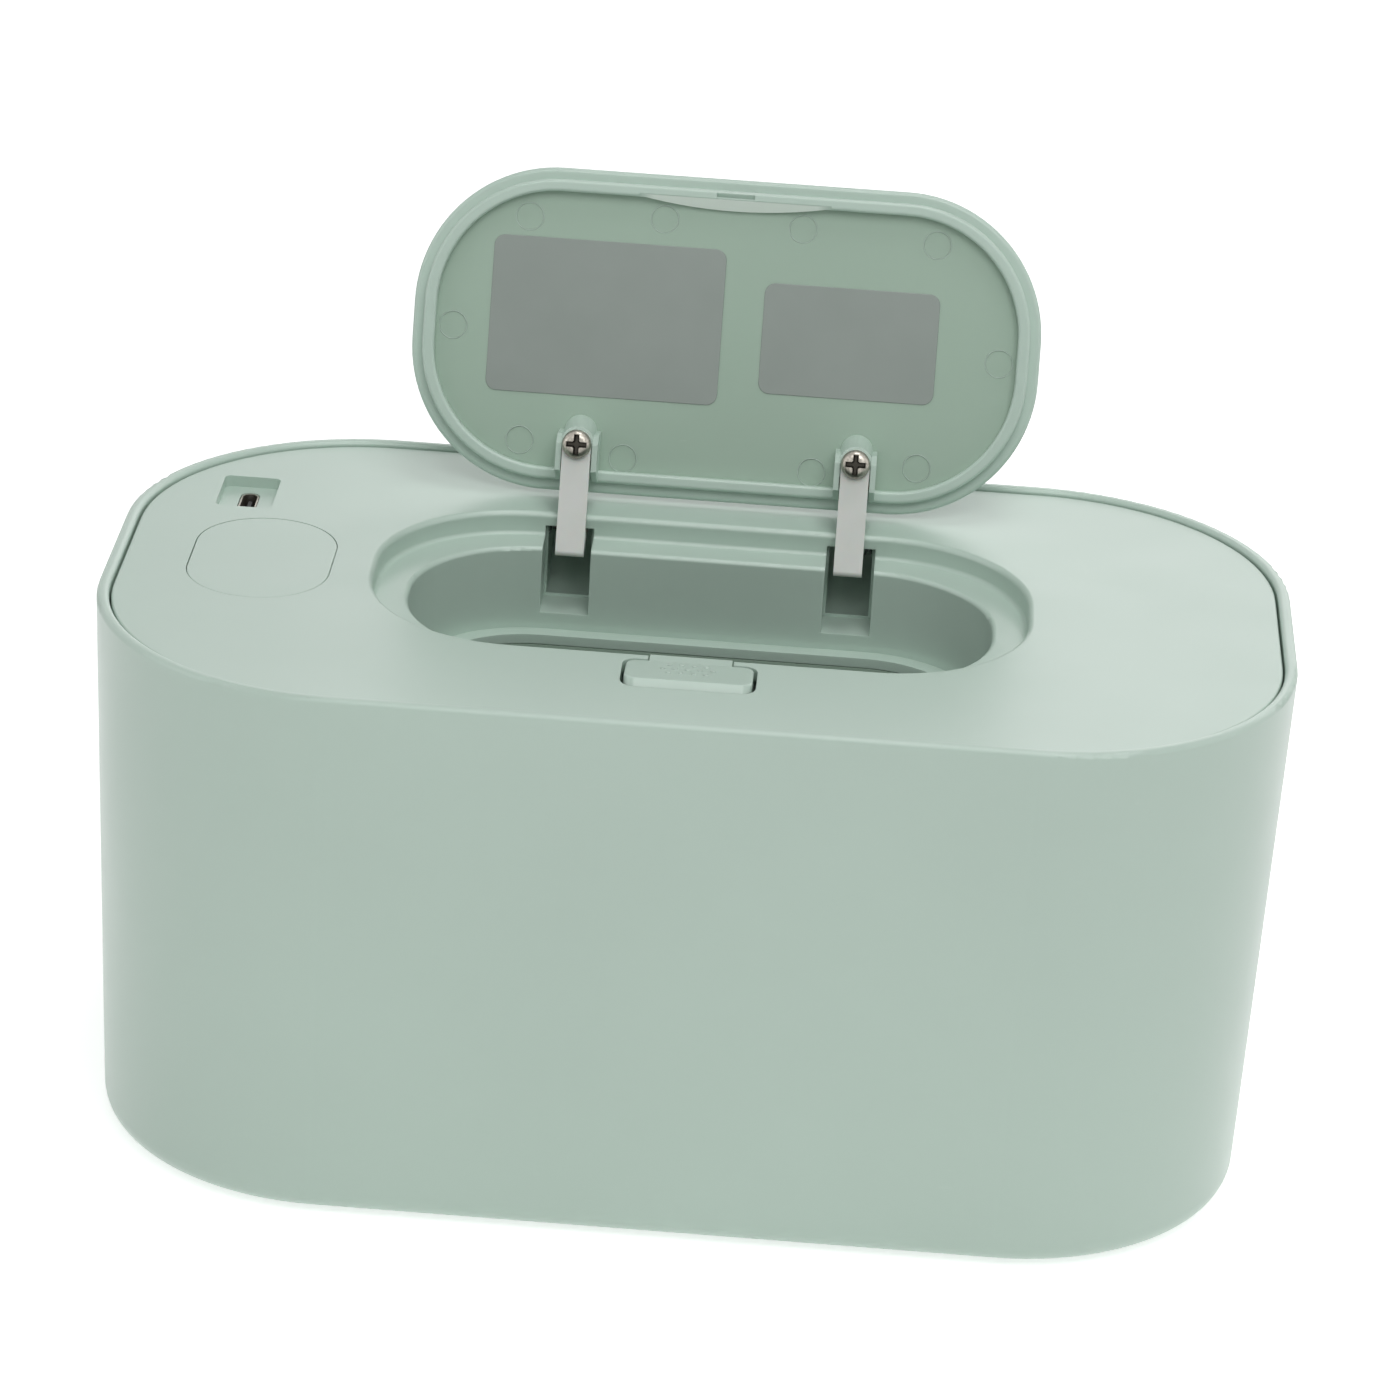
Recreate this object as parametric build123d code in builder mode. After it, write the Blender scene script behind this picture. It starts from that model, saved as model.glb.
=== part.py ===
from build123d import *
import os
from math import cos, degrees, hypot, radians, sin, sqrt, tan

os.makedirs("parts", exist_ok=True)

# A wipe warmer: a tub with a drop-in top cover, a sprung lid and a rocking latch button.
# Millimetres. The origin is on the table under the middle of the tub; +Z is up and -Y is the front.

# ---- tub
body_length = 210.0
body_width = 120.0
body_height = 100.2
corner_radius = 45.0
wall_draft = 1.4            # degrees, walls lean in towards the floor
tub_wall = 3.2
rim_wall = 2.2              # the wall above the step that carries the cover
rim_depth = 9.0             # from the rim down to that step
floor_thickness = 2.6
floor_fillet = 4.5
rim_round = 0.9
foot_height = 1.0           # how far the pads stand out of the tub
foot_sink = 0.9
foot_radius = 7.0
foot_spread_x = 128.0
foot_spread_y = 60.0

# ---- fits
cover_gap = 0.35            # round the cover, inside the rim
seat_gap = 0.2              # between faces that rest on each other
nest_gap = 0.25             # between nested walls
pin_clearance = 0.05        # radial, a part that turns on its pin
press_clearance = 0.02      # radial, a part that holds a pin

# ---- deck of the top cover
deck_drop = 0.8             # deck surface below the rim
deck_thickness = 2.0
skirt_wall = 1.6
inner_wall = 1.8            # walls of the recess and of the well
recess_centre_y = 0.7
recess_length = 116.2
recess_width = 60.0
recess_radius = 26.5
recess_depth = 4.3
recess_round = 1.0
ledge_width = 6.15
well_depth = 20.1           # from the deck surface to the floor of the well
well_draft = 1.0
well_round = 0.8
flange_width = 3.1          # floor left round the dispensing opening

# ---- lid
lid_gap = 0.45
lid_thickness = 1.7
lid_round = 0.8
lid_rim_inset = 2.1
lid_rim_width = 2.2
lid_rim_height = 2.3
lid_rim_round = 0.6
lid_lean = 18.6             # degrees past upright when open
crescent_chord = 35.2
crescent_rise = 1.7
catch_width = 7.0
catch_skin = 0.5
catch_slot = 0.8
catch_bar = 0.5
catch_roof = 0.25
crescent_top = 0.7          # where its slope meets the rim's face, outside the rim's inner wall
crescent_lip = 0.7          # height of the crescent's lower edge above the panel
ejector_mark_radius = 2.45
ejector_mark_depth = 0.1

# ---- lid hinge
hinge_x = 25.8              # middle of each hinge pocket
pocket_width = 8.9
pocket_drop = 2.4           # pocket mouth below the deck surface
pocket_depth = 17.0         # pocket floor below the deck surface
cheek = 0.5                 # each pocket narrows by this behind the recess wall
pivot_behind_wall = 5.1     # pivot behind the recess's rear wall
pivot_drop = 3.5            # pivot below the deck surface
hinge_skin = 1.3            # deck left over the arm's eye
pin_radius = 0.9
pin_skin = 0.6              # left over the inner end of each hinge pin
eye_radius = 1.9
arm_width = 5.2
arm_thickness = 1.8
arm_shift = 0.35            # arms sit inboard of the pocket's middle, beside their springs
arm_drop = 7.2              # middle of the strip below the pivot when the lid is shut
arm_heel = 4.9              # how far the strip runs on behind the pivot
arm_bend = 0.9
arm_screw_shank = 1.3
arm_screw_length = 9.4
screw_tip_gap = 0.4
arm_screw_reach = 14.8      # from the pivot to the screw, along the lid
sweep_clearance = 0.8
hinge_wire = 0.4
hinge_turns = 2.21          # the legs leave the coil 284 degrees apart
hinge_leg = 5.0
coil_gap = 0.2

# ---- latch button
button_length = 22.0
button_corner = 2.0
button_end_gap = 0.65
button_front_gap = 0.3
button_land = 2.4           # deck left between the button and the recess
button_slot_width = 11.7
button_proud = 1.1
button_skin = 1.6
button_skirt = 4.0
button_pivot_drop = 8.4
button_rear_gap = 0.35
tongue_width = 14.2
tongue_depth = 3.4
tongue_gap = 0.3
nose_width = 6.4
nose_thickness = 0.8
nose_bite = 0.45
button_web = 1.5
button_eye = 1.9
bracket_wall = 1.6
bracket_length = 12.0
shelf_drop = 10.2           # top of the spring's shelf below the deck surface
shelf_length = 6.5
button_spring_radius = 2.2
button_spring_wire = 0.45
button_spring_turns = 5

# ---- power socket, touch panel and board
socket_x = -85.0
socket_y = 30.5
socket_pocket_width = 10.3
socket_pocket_length = 14.5
socket_pocket_depth = 2.1
socket_pocket_corner = 1.2
socket_length = 8.94
socket_thickness = 3.26
socket_skin = 0.3
socket_fit = 0.15
touch_x = -78.4
touch_y = 0.5
touch_width = 25.4
touch_length = 36.5
touch_corner = 12.5
touch_gap = 0.12
touch_flange = 1.0
touch_flange_thickness = 1.2
board_x = -77.0
board_y = 9.5
board_width = 29.0
board_length = 57.0
board_corner = 7.0
board_thickness = 1.6
board_drop = 12.0           # top of the board below the deck surface
board_post_radius = 2.2
board_screw_shank = 0.9
board_screw_reach = 6.0

# ---- underside of the top cover
base_wall = 1.6
base_thickness = 1.6
heater_length = 156.0
heater_width = 80.0
heater_radius = 30.0
heater_thickness = 1.0
film_thickness = 0.3
pad_thickness = 1.1
cover_depth = 29.4          # from the deck surface to the heater's face
boss_radius = 3.4
screw_shank = 1.45
screw_head_radius = 2.65
screw_head_height = 1.9
cross_span = 1.4            # the cross over its arms, as a share of the head's radius
cross_arm = 0.36            # one arm's width, as a share of the head's radius
cross_depth = 0.7           # as a share of the head's height
cross_lead = 0.1            # the cut starts this far above the head, as a share of its height
corner_boss_x = 66.0
corner_boss_y = 47.0
right_boss_x = 93.0
left_boss_x = -86.0
left_boss_y = -30.0
neck_wall = 1.6
neck_depth = 28.6           # from the deck surface to the end of the neck
lip_wall = 1.6
base_rise = 3.2             # how far the base's wall stands up inside the skirt
screw_reach = 10.0
lead_radius = 0.65
sensor_lead_radius = 0.4
cutout_x = -62.0
cutout_y = -12.0
cutout_width = 7.5
cutout_length = 20.0
cutout_height = 3.5
bead_y = 10.0
bead_radius = 1.1
bead_length = 4.0

# ---- levels and places worked out from the sizes above
rim_top = foot_height + body_height
deck_top = rim_top - deck_drop
deck_under = deck_top - deck_thickness
step_level = rim_top - rim_depth
ledge_level = deck_top - recess_depth
well_floor = deck_top - well_depth
heater_face = deck_top - cover_depth
base_under = heater_face + heater_thickness + film_thickness + pad_thickness
base_top = base_under + base_thickness
board_top = deck_top - board_drop

cover_length = body_length - 2 * (rim_wall + cover_gap)
cover_width = body_width - 2 * (rim_wall + cover_gap)
cover_radius = corner_radius - rim_wall - cover_gap
well_length = recess_length - 2 * ledge_width
well_width = recess_width - 2 * ledge_width
well_radius = recess_radius - ledge_width + 2.0
well_shrink = 2 * (ledge_level - well_floor) * tan(radians(well_draft))
opening_length = well_length - well_shrink - 2 * flange_width
opening_width = well_width - well_shrink - 2 * flange_width
opening_radius = well_radius - well_shrink / 2 - flange_width
recess_rear = recess_centre_y + recess_width / 2
recess_front = recess_centre_y - recess_width / 2

pivot_y = recess_rear + pivot_behind_wall
pivot_z = deck_top - pivot_drop
lid_length = recess_length - 2 * lid_gap
lid_width = recess_width - 2 * lid_gap
lid_radius = recess_radius - lid_gap
lid_centre = pivot_y - recess_centre_y
lid_outer = -pivot_drop
lid_inner = lid_outer + lid_thickness
lid_rim_face = lid_inner + lid_rim_height
lid_near_edge = lid_centre - lid_width / 2
lid_far_edge = lid_centre + lid_width / 2
arm_inner = arm_drop - arm_thickness / 2
arm_outer = arm_drop + arm_thickness / 2
arm_reach = hypot(arm_heel + arm_thickness / 2, arm_outer)
arm_x = hinge_x - arm_shift
boss_width = arm_width + 0.8
sweep_radius = arm_reach + sweep_clearance
pocket_floor = deck_top - pocket_depth
barrel_low = pocket_floor + sweep_radius
barrel_stretch = abs(pivot_z - barrel_low)
cheek_start = recess_rear + inner_wall

button_rear = recess_front - button_land
button_pivot_y = recess_front - 2.2
button_pivot_z = deck_top - button_pivot_drop
slot_front = button_rear - button_slot_width
button_reach = hypot(slot_front - button_pivot_y, button_pivot_drop)
cap_reach = button_reach - button_front_gap
cap_front_y = button_pivot_y - sqrt(cap_reach**2 - (button_pivot_drop + button_proud) ** 2)
rim_front_y = pivot_y - (lid_far_edge - lid_rim_inset)
catch_bar_top = pivot_z - lid_rim_face + catch_bar
nose_level = catch_bar_top + tongue_gap

# ---- frames of the parts that are not square to the table
lean = radians(lid_lean)
lid_up = (0, sin(lean), cos(lean))
lid_inward = (0, -cos(lean), sin(lean))
hinge_point = (0, pivot_y, pivot_z)
lid_frame = Plane(origin=hinge_point, x_dir=(1, 0, 0), z_dir=lid_inward)


def down(level, y=0.0):
    """A sketch plane that faces down, so that a taper narrows towards the floor."""
    return Plane(origin=(0, y, level), x_dir=(1, 0, 0), z_dir=(0, 0, -1))


def lid_plane(height, reach=0.0, x=0.0):
    """A plane parallel to the lid: height inwards from the pivot, reach out along the lid."""
    return Plane(
        origin=lid_frame.from_local_coords((x, reach, height)),
        x_dir=(1, 0, 0),
        z_dir=lid_inward,
    )


def arm_plane(x):
    """A plane across the hinge axis, with its own X out along the lid and its own Y inwards."""
    return Plane(origin=(x, pivot_y, pivot_z), x_dir=lid_up, z_dir=(1, 0, 0))


def in_recess(edge):
    """True for an edge that lies on the recess's outline or inside it."""
    middle = edge @ 0.5
    in_length = abs(middle.X) < recess_length / 2 + 0.1
    return in_length and abs(middle.Y - recess_centre_y) < recess_width / 2 + 0.1


def lid_place(edge):
    """The middle of an edge in the lid's frame: X, reach out along the lid, height inwards."""
    return lid_frame.to_local_coords(edge @ 0.5)


def save(piece, name):
    piece.part.label = name
    export_step(piece.part, f"parts/{name}.step")


# ---- tub: tapered rounded box, hollow, with a step below the rim
with BuildPart() as outer_shell:
    with BuildSketch(down(rim_top)):
        RectangleRounded(body_length, body_width, corner_radius)
    extrude(amount=body_height, taper=wall_draft)
    fillet(outer_shell.edges().group_by(Axis.Z)[0], floor_fillet)
    with BuildSketch(down(rim_top)):
        RectangleRounded(body_length - 2 * tub_wall, body_width - 2 * tub_wall, corner_radius - tub_wall)
    extrude(amount=body_height - floor_thickness, taper=wall_draft, mode=Mode.SUBTRACT)
    floor_edges = outer_shell.edges().filter_by_position(
        Axis.Z, foot_height + floor_thickness - 0.1, foot_height + floor_thickness + 0.1
    )
    fillet(floor_edges, floor_fillet - floor_thickness + 1.0)
    with BuildSketch(down(rim_top)):
        RectangleRounded(body_length - 2 * rim_wall, body_width - 2 * rim_wall, corner_radius - rim_wall)
    extrude(amount=rim_depth, taper=wall_draft, mode=Mode.SUBTRACT)
    fillet(outer_shell.edges().group_by(Axis.Z)[-1], rim_round)
    with BuildSketch(Plane.XY.offset(foot_height)):
        with GridLocations(foot_spread_x, foot_spread_y, 2, 2):
            Circle(foot_radius + nest_gap)
    extrude(amount=foot_sink, mode=Mode.SUBTRACT)
save(outer_shell, "outer_shell")

with BuildPart() as foot_pads:
    with BuildSketch():
        with GridLocations(foot_spread_x, foot_spread_y, 2, 2):
            Circle(foot_radius)
    extrude(amount=foot_height + foot_sink)
    chamfer(foot_pads.edges().group_by(Axis.Z)[0], 0.3)
save(foot_pads, "foot_pads")

# ---- deck: plate and skirt, recess, ledge and well, hinge pockets, button slot, socket pocket
screw_places = [
    (x, y) for x in (-corner_boss_x, corner_boss_x) for y in (-corner_boss_y, corner_boss_y)
] + [(left_boss_x, left_boss_y), (right_boss_x, 0)]
board_posts = [
    (board_x + board_width / 2 - 3.2, board_y - board_length / 2 + 2.7),
    (board_x + board_width / 2 - 3.2, board_y + board_length / 2 - 3.4),
    (board_x - board_width / 2 + 2.7, touch_y + touch_length / 2 + 2.0),
]
bracket_x = button_length / 2 + button_end_gap + bracket_wall
slot_half = button_length / 2 + button_end_gap
shelf_level = deck_top - shelf_drop
shelf_front = button_pivot_y + 2.5 - bracket_length


def is_button_corner(edge, half_length):
    """True for the upright edges at the ends of the button's cap, or of its slot."""
    middle = edge @ 0.5
    upright = edge.geom_type == GeomType.CIRCLE or abs((edge @ 0 - edge @ 1).Z) > 2
    return upright and abs(middle.X) > half_length - 0.01


# the button's slot: an arched front face about the button's pivot, and rounded corners
with BuildPart() as slot_cutter:
    with BuildSketch(Plane.YZ.offset(-slot_half)):
        with Locations((button_pivot_y, button_pivot_z)):
            Circle(button_reach)
        with Locations((button_rear, deck_under - 1)):
            Rectangle(40, 40, align=(Align.MAX, Align.MIN), mode=Mode.INTERSECT)
    extrude(amount=2 * slot_half)
    slot_corners = slot_cutter.edges().filter_by(lambda edge: is_button_corner(edge, slot_half))
    fillet(slot_corners, button_corner + button_rear_gap)

with BuildPart() as deck:
    with BuildSketch(down(deck_top)):
        RectangleRounded(cover_length, cover_width, cover_radius)
    extrude(amount=deck_thickness, taper=wall_draft)
    with BuildSketch(down(deck_top)):
        RectangleRounded(cover_length, cover_width, cover_radius)
        RectangleRounded(
            cover_length - 2 * skirt_wall,
            cover_width - 2 * skirt_wall,
            cover_radius - skirt_wall,
            mode=Mode.SUBTRACT,
        )
    extrude(amount=deck_top - step_level - seat_gap, taper=wall_draft)
    with BuildSketch(down(deck_top, recess_centre_y)):
        RectangleRounded(
            recess_length + 2 * inner_wall, recess_width + 2 * inner_wall, recess_radius + inner_wall
        )
    extrude(amount=recess_depth + inner_wall)
    with BuildSketch(down(ledge_level, recess_centre_y)):
        RectangleRounded(well_length + 2 * inner_wall, well_width + 2 * inner_wall, well_radius + inner_wall)
    extrude(amount=ledge_level - well_floor + inner_wall, taper=well_draft)
    for side in (-1, 1):
        housing_width = pocket_width + 2 * inner_wall
        with BuildSketch(Plane.YZ.offset(side * hinge_x - housing_width / 2)):
            with Locations((pivot_y, (pivot_z + barrel_low) / 2)):
                SlotCenterToCenter(barrel_stretch, 2 * (sweep_radius + inner_wall), rotation=90)
            with Locations((cheek_start, deck_under + 1)):
                Rectangle(60, 60, align=(Align.MIN, Align.MAX), mode=Mode.INTERSECT)
            with Locations((well_width / 2, pocket_floor - inner_wall)):
                Rectangle(
                    cheek_start + inner_wall - well_width / 2,
                    deck_under + 1 - pocket_floor + inner_wall,
                    align=(Align.MIN, Align.MIN),
                )
        extrude(amount=housing_width)
    for side in (-1, 1):
        with BuildSketch(Plane.YZ.offset(side * (bracket_x - bracket_wall / 2) - bracket_wall / 2)):
            with Locations((shelf_front, shelf_level - bracket_wall)):
                Rectangle(
                    bracket_length, deck_under + 1 - shelf_level + bracket_wall, align=(Align.MIN, Align.MIN)
                )
        extrude(amount=bracket_wall)
    with BuildSketch(Plane.XY.offset(shelf_level)):
        with Locations((0, shelf_front)):
            Rectangle(2 * bracket_x, shelf_length, align=(Align.CENTER, Align.MIN))
    extrude(amount=-bracket_wall)
    with BuildSketch(Plane.XY.offset(shelf_level)):
        with Locations((0, shelf_front + shelf_length / 2)):
            Circle(button_spring_radius - button_spring_wire - nest_gap)
    extrude(amount=3)
    with BuildSketch(Plane.XY.offset(deck_under + 1)):
        with Locations((socket_x, socket_y)):
            RectangleRounded(
                socket_pocket_width + 2 * 1.2, socket_pocket_length + 2 * 1.2, socket_pocket_corner + 1.2
            )
    extrude(amount=-(1 - deck_thickness + socket_pocket_depth + 1.4))
    with BuildSketch(Plane.XY.offset(deck_under + 1)):
        with Locations(*screw_places):
            Circle(boss_radius)
    extrude(amount=-(deck_under + 1 - base_top - seat_gap / 2))
    with BuildSketch(Plane.XY.offset(deck_under + 1)):
        with Locations(*board_posts):
            Circle(board_post_radius)
    extrude(amount=-(deck_under + 1 - board_top))

    # the recess, its ledge and the well are sunk into the blocks above
    with BuildSketch(down(deck_top, recess_centre_y)):
        RectangleRounded(recess_length, recess_width, recess_radius)
    extrude(amount=recess_depth, mode=Mode.SUBTRACT)
    with BuildSketch(down(ledge_level, recess_centre_y)):
        RectangleRounded(well_length, well_width, well_radius)
    extrude(amount=ledge_level - well_floor, taper=well_draft, mode=Mode.SUBTRACT)
    with BuildSketch(down(well_floor, recess_centre_y)):
        RectangleRounded(opening_length, opening_width, opening_radius)
    extrude(amount=inner_wall + 1, mode=Mode.SUBTRACT)
    for level, radius in ((deck_top, recess_round), (ledge_level, well_round)):
        fillet(deck.edges().filter_by_position(Axis.Z, level, level).filter_by(in_recess), radius)
    rim_edges = deck.edges().filter_by_position(Axis.Z, deck_top, deck_top)
    fillet(rim_edges.filter_by(in_recess, reverse=True), rim_round / 2)

    # hinge pockets: a square mouth, then a barrel about the pivot between two cheeks
    for side in (-1, 1):
        with BuildSketch(Plane.YZ.offset(side * hinge_x - pocket_width / 2)):
            with Locations((0, pocket_floor)):
                Rectangle(
                    cheek_start, deck_top - pocket_drop - pocket_floor, align=(Align.MIN, Align.MIN)
                )
        extrude(amount=pocket_width, mode=Mode.SUBTRACT)
        with BuildSketch(Plane.YZ.offset(side * hinge_x - pocket_width / 2 + cheek)):
            with Locations((pivot_y, (pivot_z + barrel_low) / 2)):
                SlotCenterToCenter(barrel_stretch, 2 * sweep_radius, rotation=90)
            with Locations((cheek_start - 0.01, deck_top - hinge_skin)):
                Rectangle(60, 60, align=(Align.MIN, Align.MAX), mode=Mode.INTERSECT)
        extrude(amount=pocket_width - 2 * cheek, mode=Mode.SUBTRACT)
        with BuildSketch(Plane.YZ.offset(side * (hinge_x - pocket_width / 2 - inner_wall + pin_skin))):
            with Locations((pivot_y, pivot_z)):
                Circle(pin_radius + press_clearance)
        extrude(amount=side * (pocket_width + 2 * inner_wall), mode=Mode.SUBTRACT)

    # button slot, the tongue's notch and the brackets' bore
    add(slot_cutter.part, mode=Mode.SUBTRACT)
    with BuildSketch(Plane.XY.offset(deck_top)):
        with Locations((0, recess_front + 1)):
            Rectangle(tongue_width + 2 * tongue_gap, button_land + 2, align=(Align.CENTER, Align.MAX))
    extrude(amount=-(tongue_depth + tongue_gap), mode=Mode.SUBTRACT)
    with BuildSketch(Plane.YZ.offset(-bracket_x - 1)):
        with Locations((button_pivot_y, button_pivot_z)):
            Circle(pin_radius + press_clearance)
    extrude(amount=2 * bracket_x + 2, mode=Mode.SUBTRACT)

    # socket pocket and its slot, touch panel window, pilot holes
    with BuildSketch(Plane.XY.offset(deck_top)):
        with Locations((socket_x, socket_y)):
            RectangleRounded(socket_pocket_width, socket_pocket_length, socket_pocket_corner)
    extrude(amount=-socket_pocket_depth, mode=Mode.SUBTRACT)
    with BuildSketch(Plane.XY.offset(deck_top)):
        with Locations((socket_x, socket_y)):
            SlotOverall(socket_length + 2 * socket_fit, socket_thickness + 2 * socket_fit, rotation=90)
        with Locations((touch_x, touch_y)):
            RectangleRounded(touch_width, touch_length, touch_corner)
    extrude(amount=-8, mode=Mode.SUBTRACT)
    with BuildSketch(Plane.XY.offset(base_top)):
        with Locations(*screw_places):
            Circle(screw_shank + press_clearance)
    extrude(amount=screw_reach, mode=Mode.SUBTRACT)
    with BuildSketch(Plane.XY.offset(board_top)):
        with Locations(*board_posts):
            Circle(board_screw_shank + press_clearance)
    extrude(amount=board_screw_reach, mode=Mode.SUBTRACT)
save(deck, "deck")

# ---- underside of the top cover: base with its neck, then foam, film and heater plate
neck_end = deck_top - neck_depth
neck_top = well_floor - inner_wall - seat_gap
base_rim = step_level + base_rise
base_inset = skirt_wall + nest_gap
window_width = cutout_width + 1.0
window_length = cutout_length + 9.0
window_y = cutout_y - 1.0
bead_window_width = 2 * bead_radius + 2.0
bead_window_length = bead_length + 5.0
bead_window_y = bead_y + 1.5
lead_hole_x = cutout_x - 6.5
lead_hole_y = 4.0
film_top = heater_face + heater_thickness + film_thickness


def cover_outline(level, inset):
    """The cover's rounded outline at a level, drawn in from its outer face."""
    shrink = inset + (deck_top - level) * tan(radians(wall_draft))
    RectangleRounded(cover_length - 2 * shrink, cover_width - 2 * shrink, cover_radius - shrink)


def opening_outline(grow, mode=Mode.ADD):
    with Locations((0, recess_centre_y)):
        RectangleRounded(
            opening_length + 2 * grow, opening_width + 2 * grow, opening_radius + grow, mode=mode
        )


def heater_outline(grow, mode=Mode.ADD):
    RectangleRounded(
        heater_length + 2 * grow, heater_width + 2 * grow, heater_radius + grow, mode=mode
    )


def lead_windows(mode=Mode.ADD):
    """Openings over the film for the cut-out, the thermistor and one heater lead."""
    with Locations((cutout_x, window_y)):
        Rectangle(window_width, window_length, mode=mode)
    with Locations((cutout_x, bead_window_y)):
        Rectangle(bead_window_width, bead_window_length, mode=mode)
    with Locations((lead_hole_x, lead_hole_y)):
        Circle(lead_radius + 0.9, mode=mode)


with BuildPart() as cover_base:
    with BuildSketch(down(base_rim)):
        cover_outline(base_rim, base_inset)
    extrude(amount=base_rim - base_under, taper=wall_draft)
    fillet(cover_base.edges().group_by(Axis.Z)[0], 0.8)
    with BuildSketch(down(base_rim)):
        cover_outline(base_rim, base_inset + base_wall)
    extrude(amount=base_rim - base_top, taper=wall_draft, mode=Mode.SUBTRACT)
    with BuildSketch(Plane.XY.offset(neck_end)):
        opening_outline(neck_wall)
    extrude(amount=neck_top - neck_end)
    with BuildSketch(Plane.XY.offset(heater_face + seat_gap)):
        heater_outline(nest_gap + lip_wall)
        heater_outline(nest_gap, Mode.SUBTRACT)
    extrude(amount=base_top - heater_face - seat_gap)
    with BuildSketch(Plane.XY.offset(neck_end)):
        opening_outline(0)
    extrude(amount=neck_top - neck_end, mode=Mode.SUBTRACT)
    with BuildSketch(Plane.XY.offset(base_under)):
        lead_windows()
        with Locations(*screw_places):
            Circle(screw_shank + nest_gap)
    extrude(amount=base_thickness, mode=Mode.SUBTRACT)
save(cover_base, "cover_base")

with BuildPart() as heater_pad:
    with BuildSketch(Plane.XY.offset(film_top)):
        heater_outline(0)
        opening_outline(neck_wall + nest_gap, Mode.SUBTRACT)
        lead_windows(Mode.SUBTRACT)
    extrude(amount=pad_thickness)
save(heater_pad, "heater_pad")

with BuildPart() as heater_film:
    with BuildSketch(Plane.XY.offset(heater_face + heater_thickness)):
        heater_outline(-2.0)
        opening_outline(neck_wall + nest_gap + 2.0, Mode.SUBTRACT)
    extrude(amount=film_thickness)
save(heater_film, "heater_film")

with BuildPart() as heater_plate:
    with BuildSketch(Plane.XY.offset(heater_face)):
        heater_outline(0)
        opening_outline(neck_wall + nest_gap, Mode.SUBTRACT)
    extrude(amount=heater_thickness)
    fillet(heater_plate.edges().group_by(Axis.Z)[0], 0.4)
save(heater_plate, "heater_plate")

with BuildPart() as thermal_cutout:
    with BuildSketch(Plane.XY.offset(film_top)):
        with Locations((cutout_x, cutout_y)):
            Rectangle(cutout_width, cutout_length)
    extrude(amount=cutout_height)
    fillet(thermal_cutout.edges(), 0.6)
save(thermal_cutout, "thermal_cutout")

bead_start = bead_y - bead_length / 2
with BuildPart() as thermistor:
    with BuildSketch(Plane.XZ.offset(-bead_start)):
        with Locations((cutout_x, film_top + bead_radius)):
            Circle(bead_radius)
    extrude(amount=-bead_length)
    fillet(thermistor.faces().sort_by(Axis.Y)[0].edges(), 0.8)
save(thermistor, "thermistor")


# ---- screws
def cross_screw(shank_radius, shank_length, head_radius, head_height):
    """A pan head screw with a cross recess; the head stands on z = 0 and the shank points down."""
    with BuildPart() as blank:
        with BuildSketch(Plane.XZ):
            with BuildLine():
                Line((0, 0), (head_radius, 0))
                Line((head_radius, 0), (head_radius, head_height * 0.4))
                ThreePointArc(
                    (head_radius, head_height * 0.4),
                    (head_radius * 0.8, head_height * 0.85),
                    (head_radius * 0.4, head_height),
                )
                Polyline((head_radius * 0.4, head_height), (0, head_height), (0, 0))
            make_face()
        revolve(axis=Axis.Z)
        with BuildSketch():
            Circle(shank_radius)
        extrude(amount=-shank_length)
        chamfer(blank.edges().group_by(Axis.Z)[0], shank_radius / 3)
        with BuildSketch(down(head_height * (1 + cross_lead))):
            Rectangle(head_radius * cross_span, head_radius * cross_arm)
            Rectangle(head_radius * cross_arm, head_radius * cross_span)
            RegularPolygon(head_radius * cross_arm, 4, rotation=45)
        extrude(amount=head_height * (cross_depth + cross_lead), taper=9, mode=Mode.SUBTRACT)
    return blank.part


with BuildPart() as cover_screws:
    with Locations(*[Location((x, y, base_under), (180, 0, 0)) for x, y in screw_places]):
        add(cross_screw(screw_shank, screw_reach, screw_head_radius, screw_head_height))
save(cover_screws, "cover_screws")

board_under = board_top - board_thickness
board_head_radius = 1.75
board_head_height = 1.2
with BuildPart() as board_screws:
    with Locations(*[Location((x, y, board_under), (180, 0, 0)) for x, y in board_posts]):
        add(cross_screw(board_screw_shank, board_screw_reach, board_head_radius, board_head_height))
save(board_screws, "board_screws")

# ---- control board and what stands on it
with BuildPart() as control_board:
    with BuildSketch(Plane.XY.offset(board_under)):
        with Locations((board_x, board_y)):
            RectangleRounded(board_width, board_length, board_corner)
        with Locations(*board_posts):
            Circle(board_screw_shank + nest_gap, mode=Mode.SUBTRACT)
    extrude(amount=board_thickness)
save(control_board, "control_board")

connector_x = board_x + 10.5
heater_connector_y = 2.0
sensor_connector_y = 14.0
connector_drop = 6.0
with BuildPart() as board_components:
    under = (Align.CENTER, Align.CENTER, Align.MAX)
    above = (Align.CENTER, Align.CENTER, Align.MIN)
    with Locations((connector_x, heater_connector_y, board_under)):
        Box(7.4, 4.6, connector_drop, align=under)
    with Locations((connector_x, sensor_connector_y, board_under)):
        Box(7.4, 4.6, connector_drop, align=under)
    with Locations((board_x - 1, heater_connector_y, board_under)):
        Box(6.6, 6.2, 2.3, align=under)
    with Locations((board_x - 7, heater_connector_y - 7, board_under)):
        Cylinder(2.5, 5.4, align=under)
    with Locations((board_x - 1, sensor_connector_y - 1, board_under)):
        Box(6.0, 6.0, 3.0, align=under)
    with Locations((connector_x, sensor_connector_y + 4, board_top)):
        Box(5.0, 5.0, 0.9, align=above)
    with Locations((connector_x, heater_connector_y, board_top)):
        Box(3.2, 1.6, 1.2, align=above)
save(board_components, "board_components")

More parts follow.
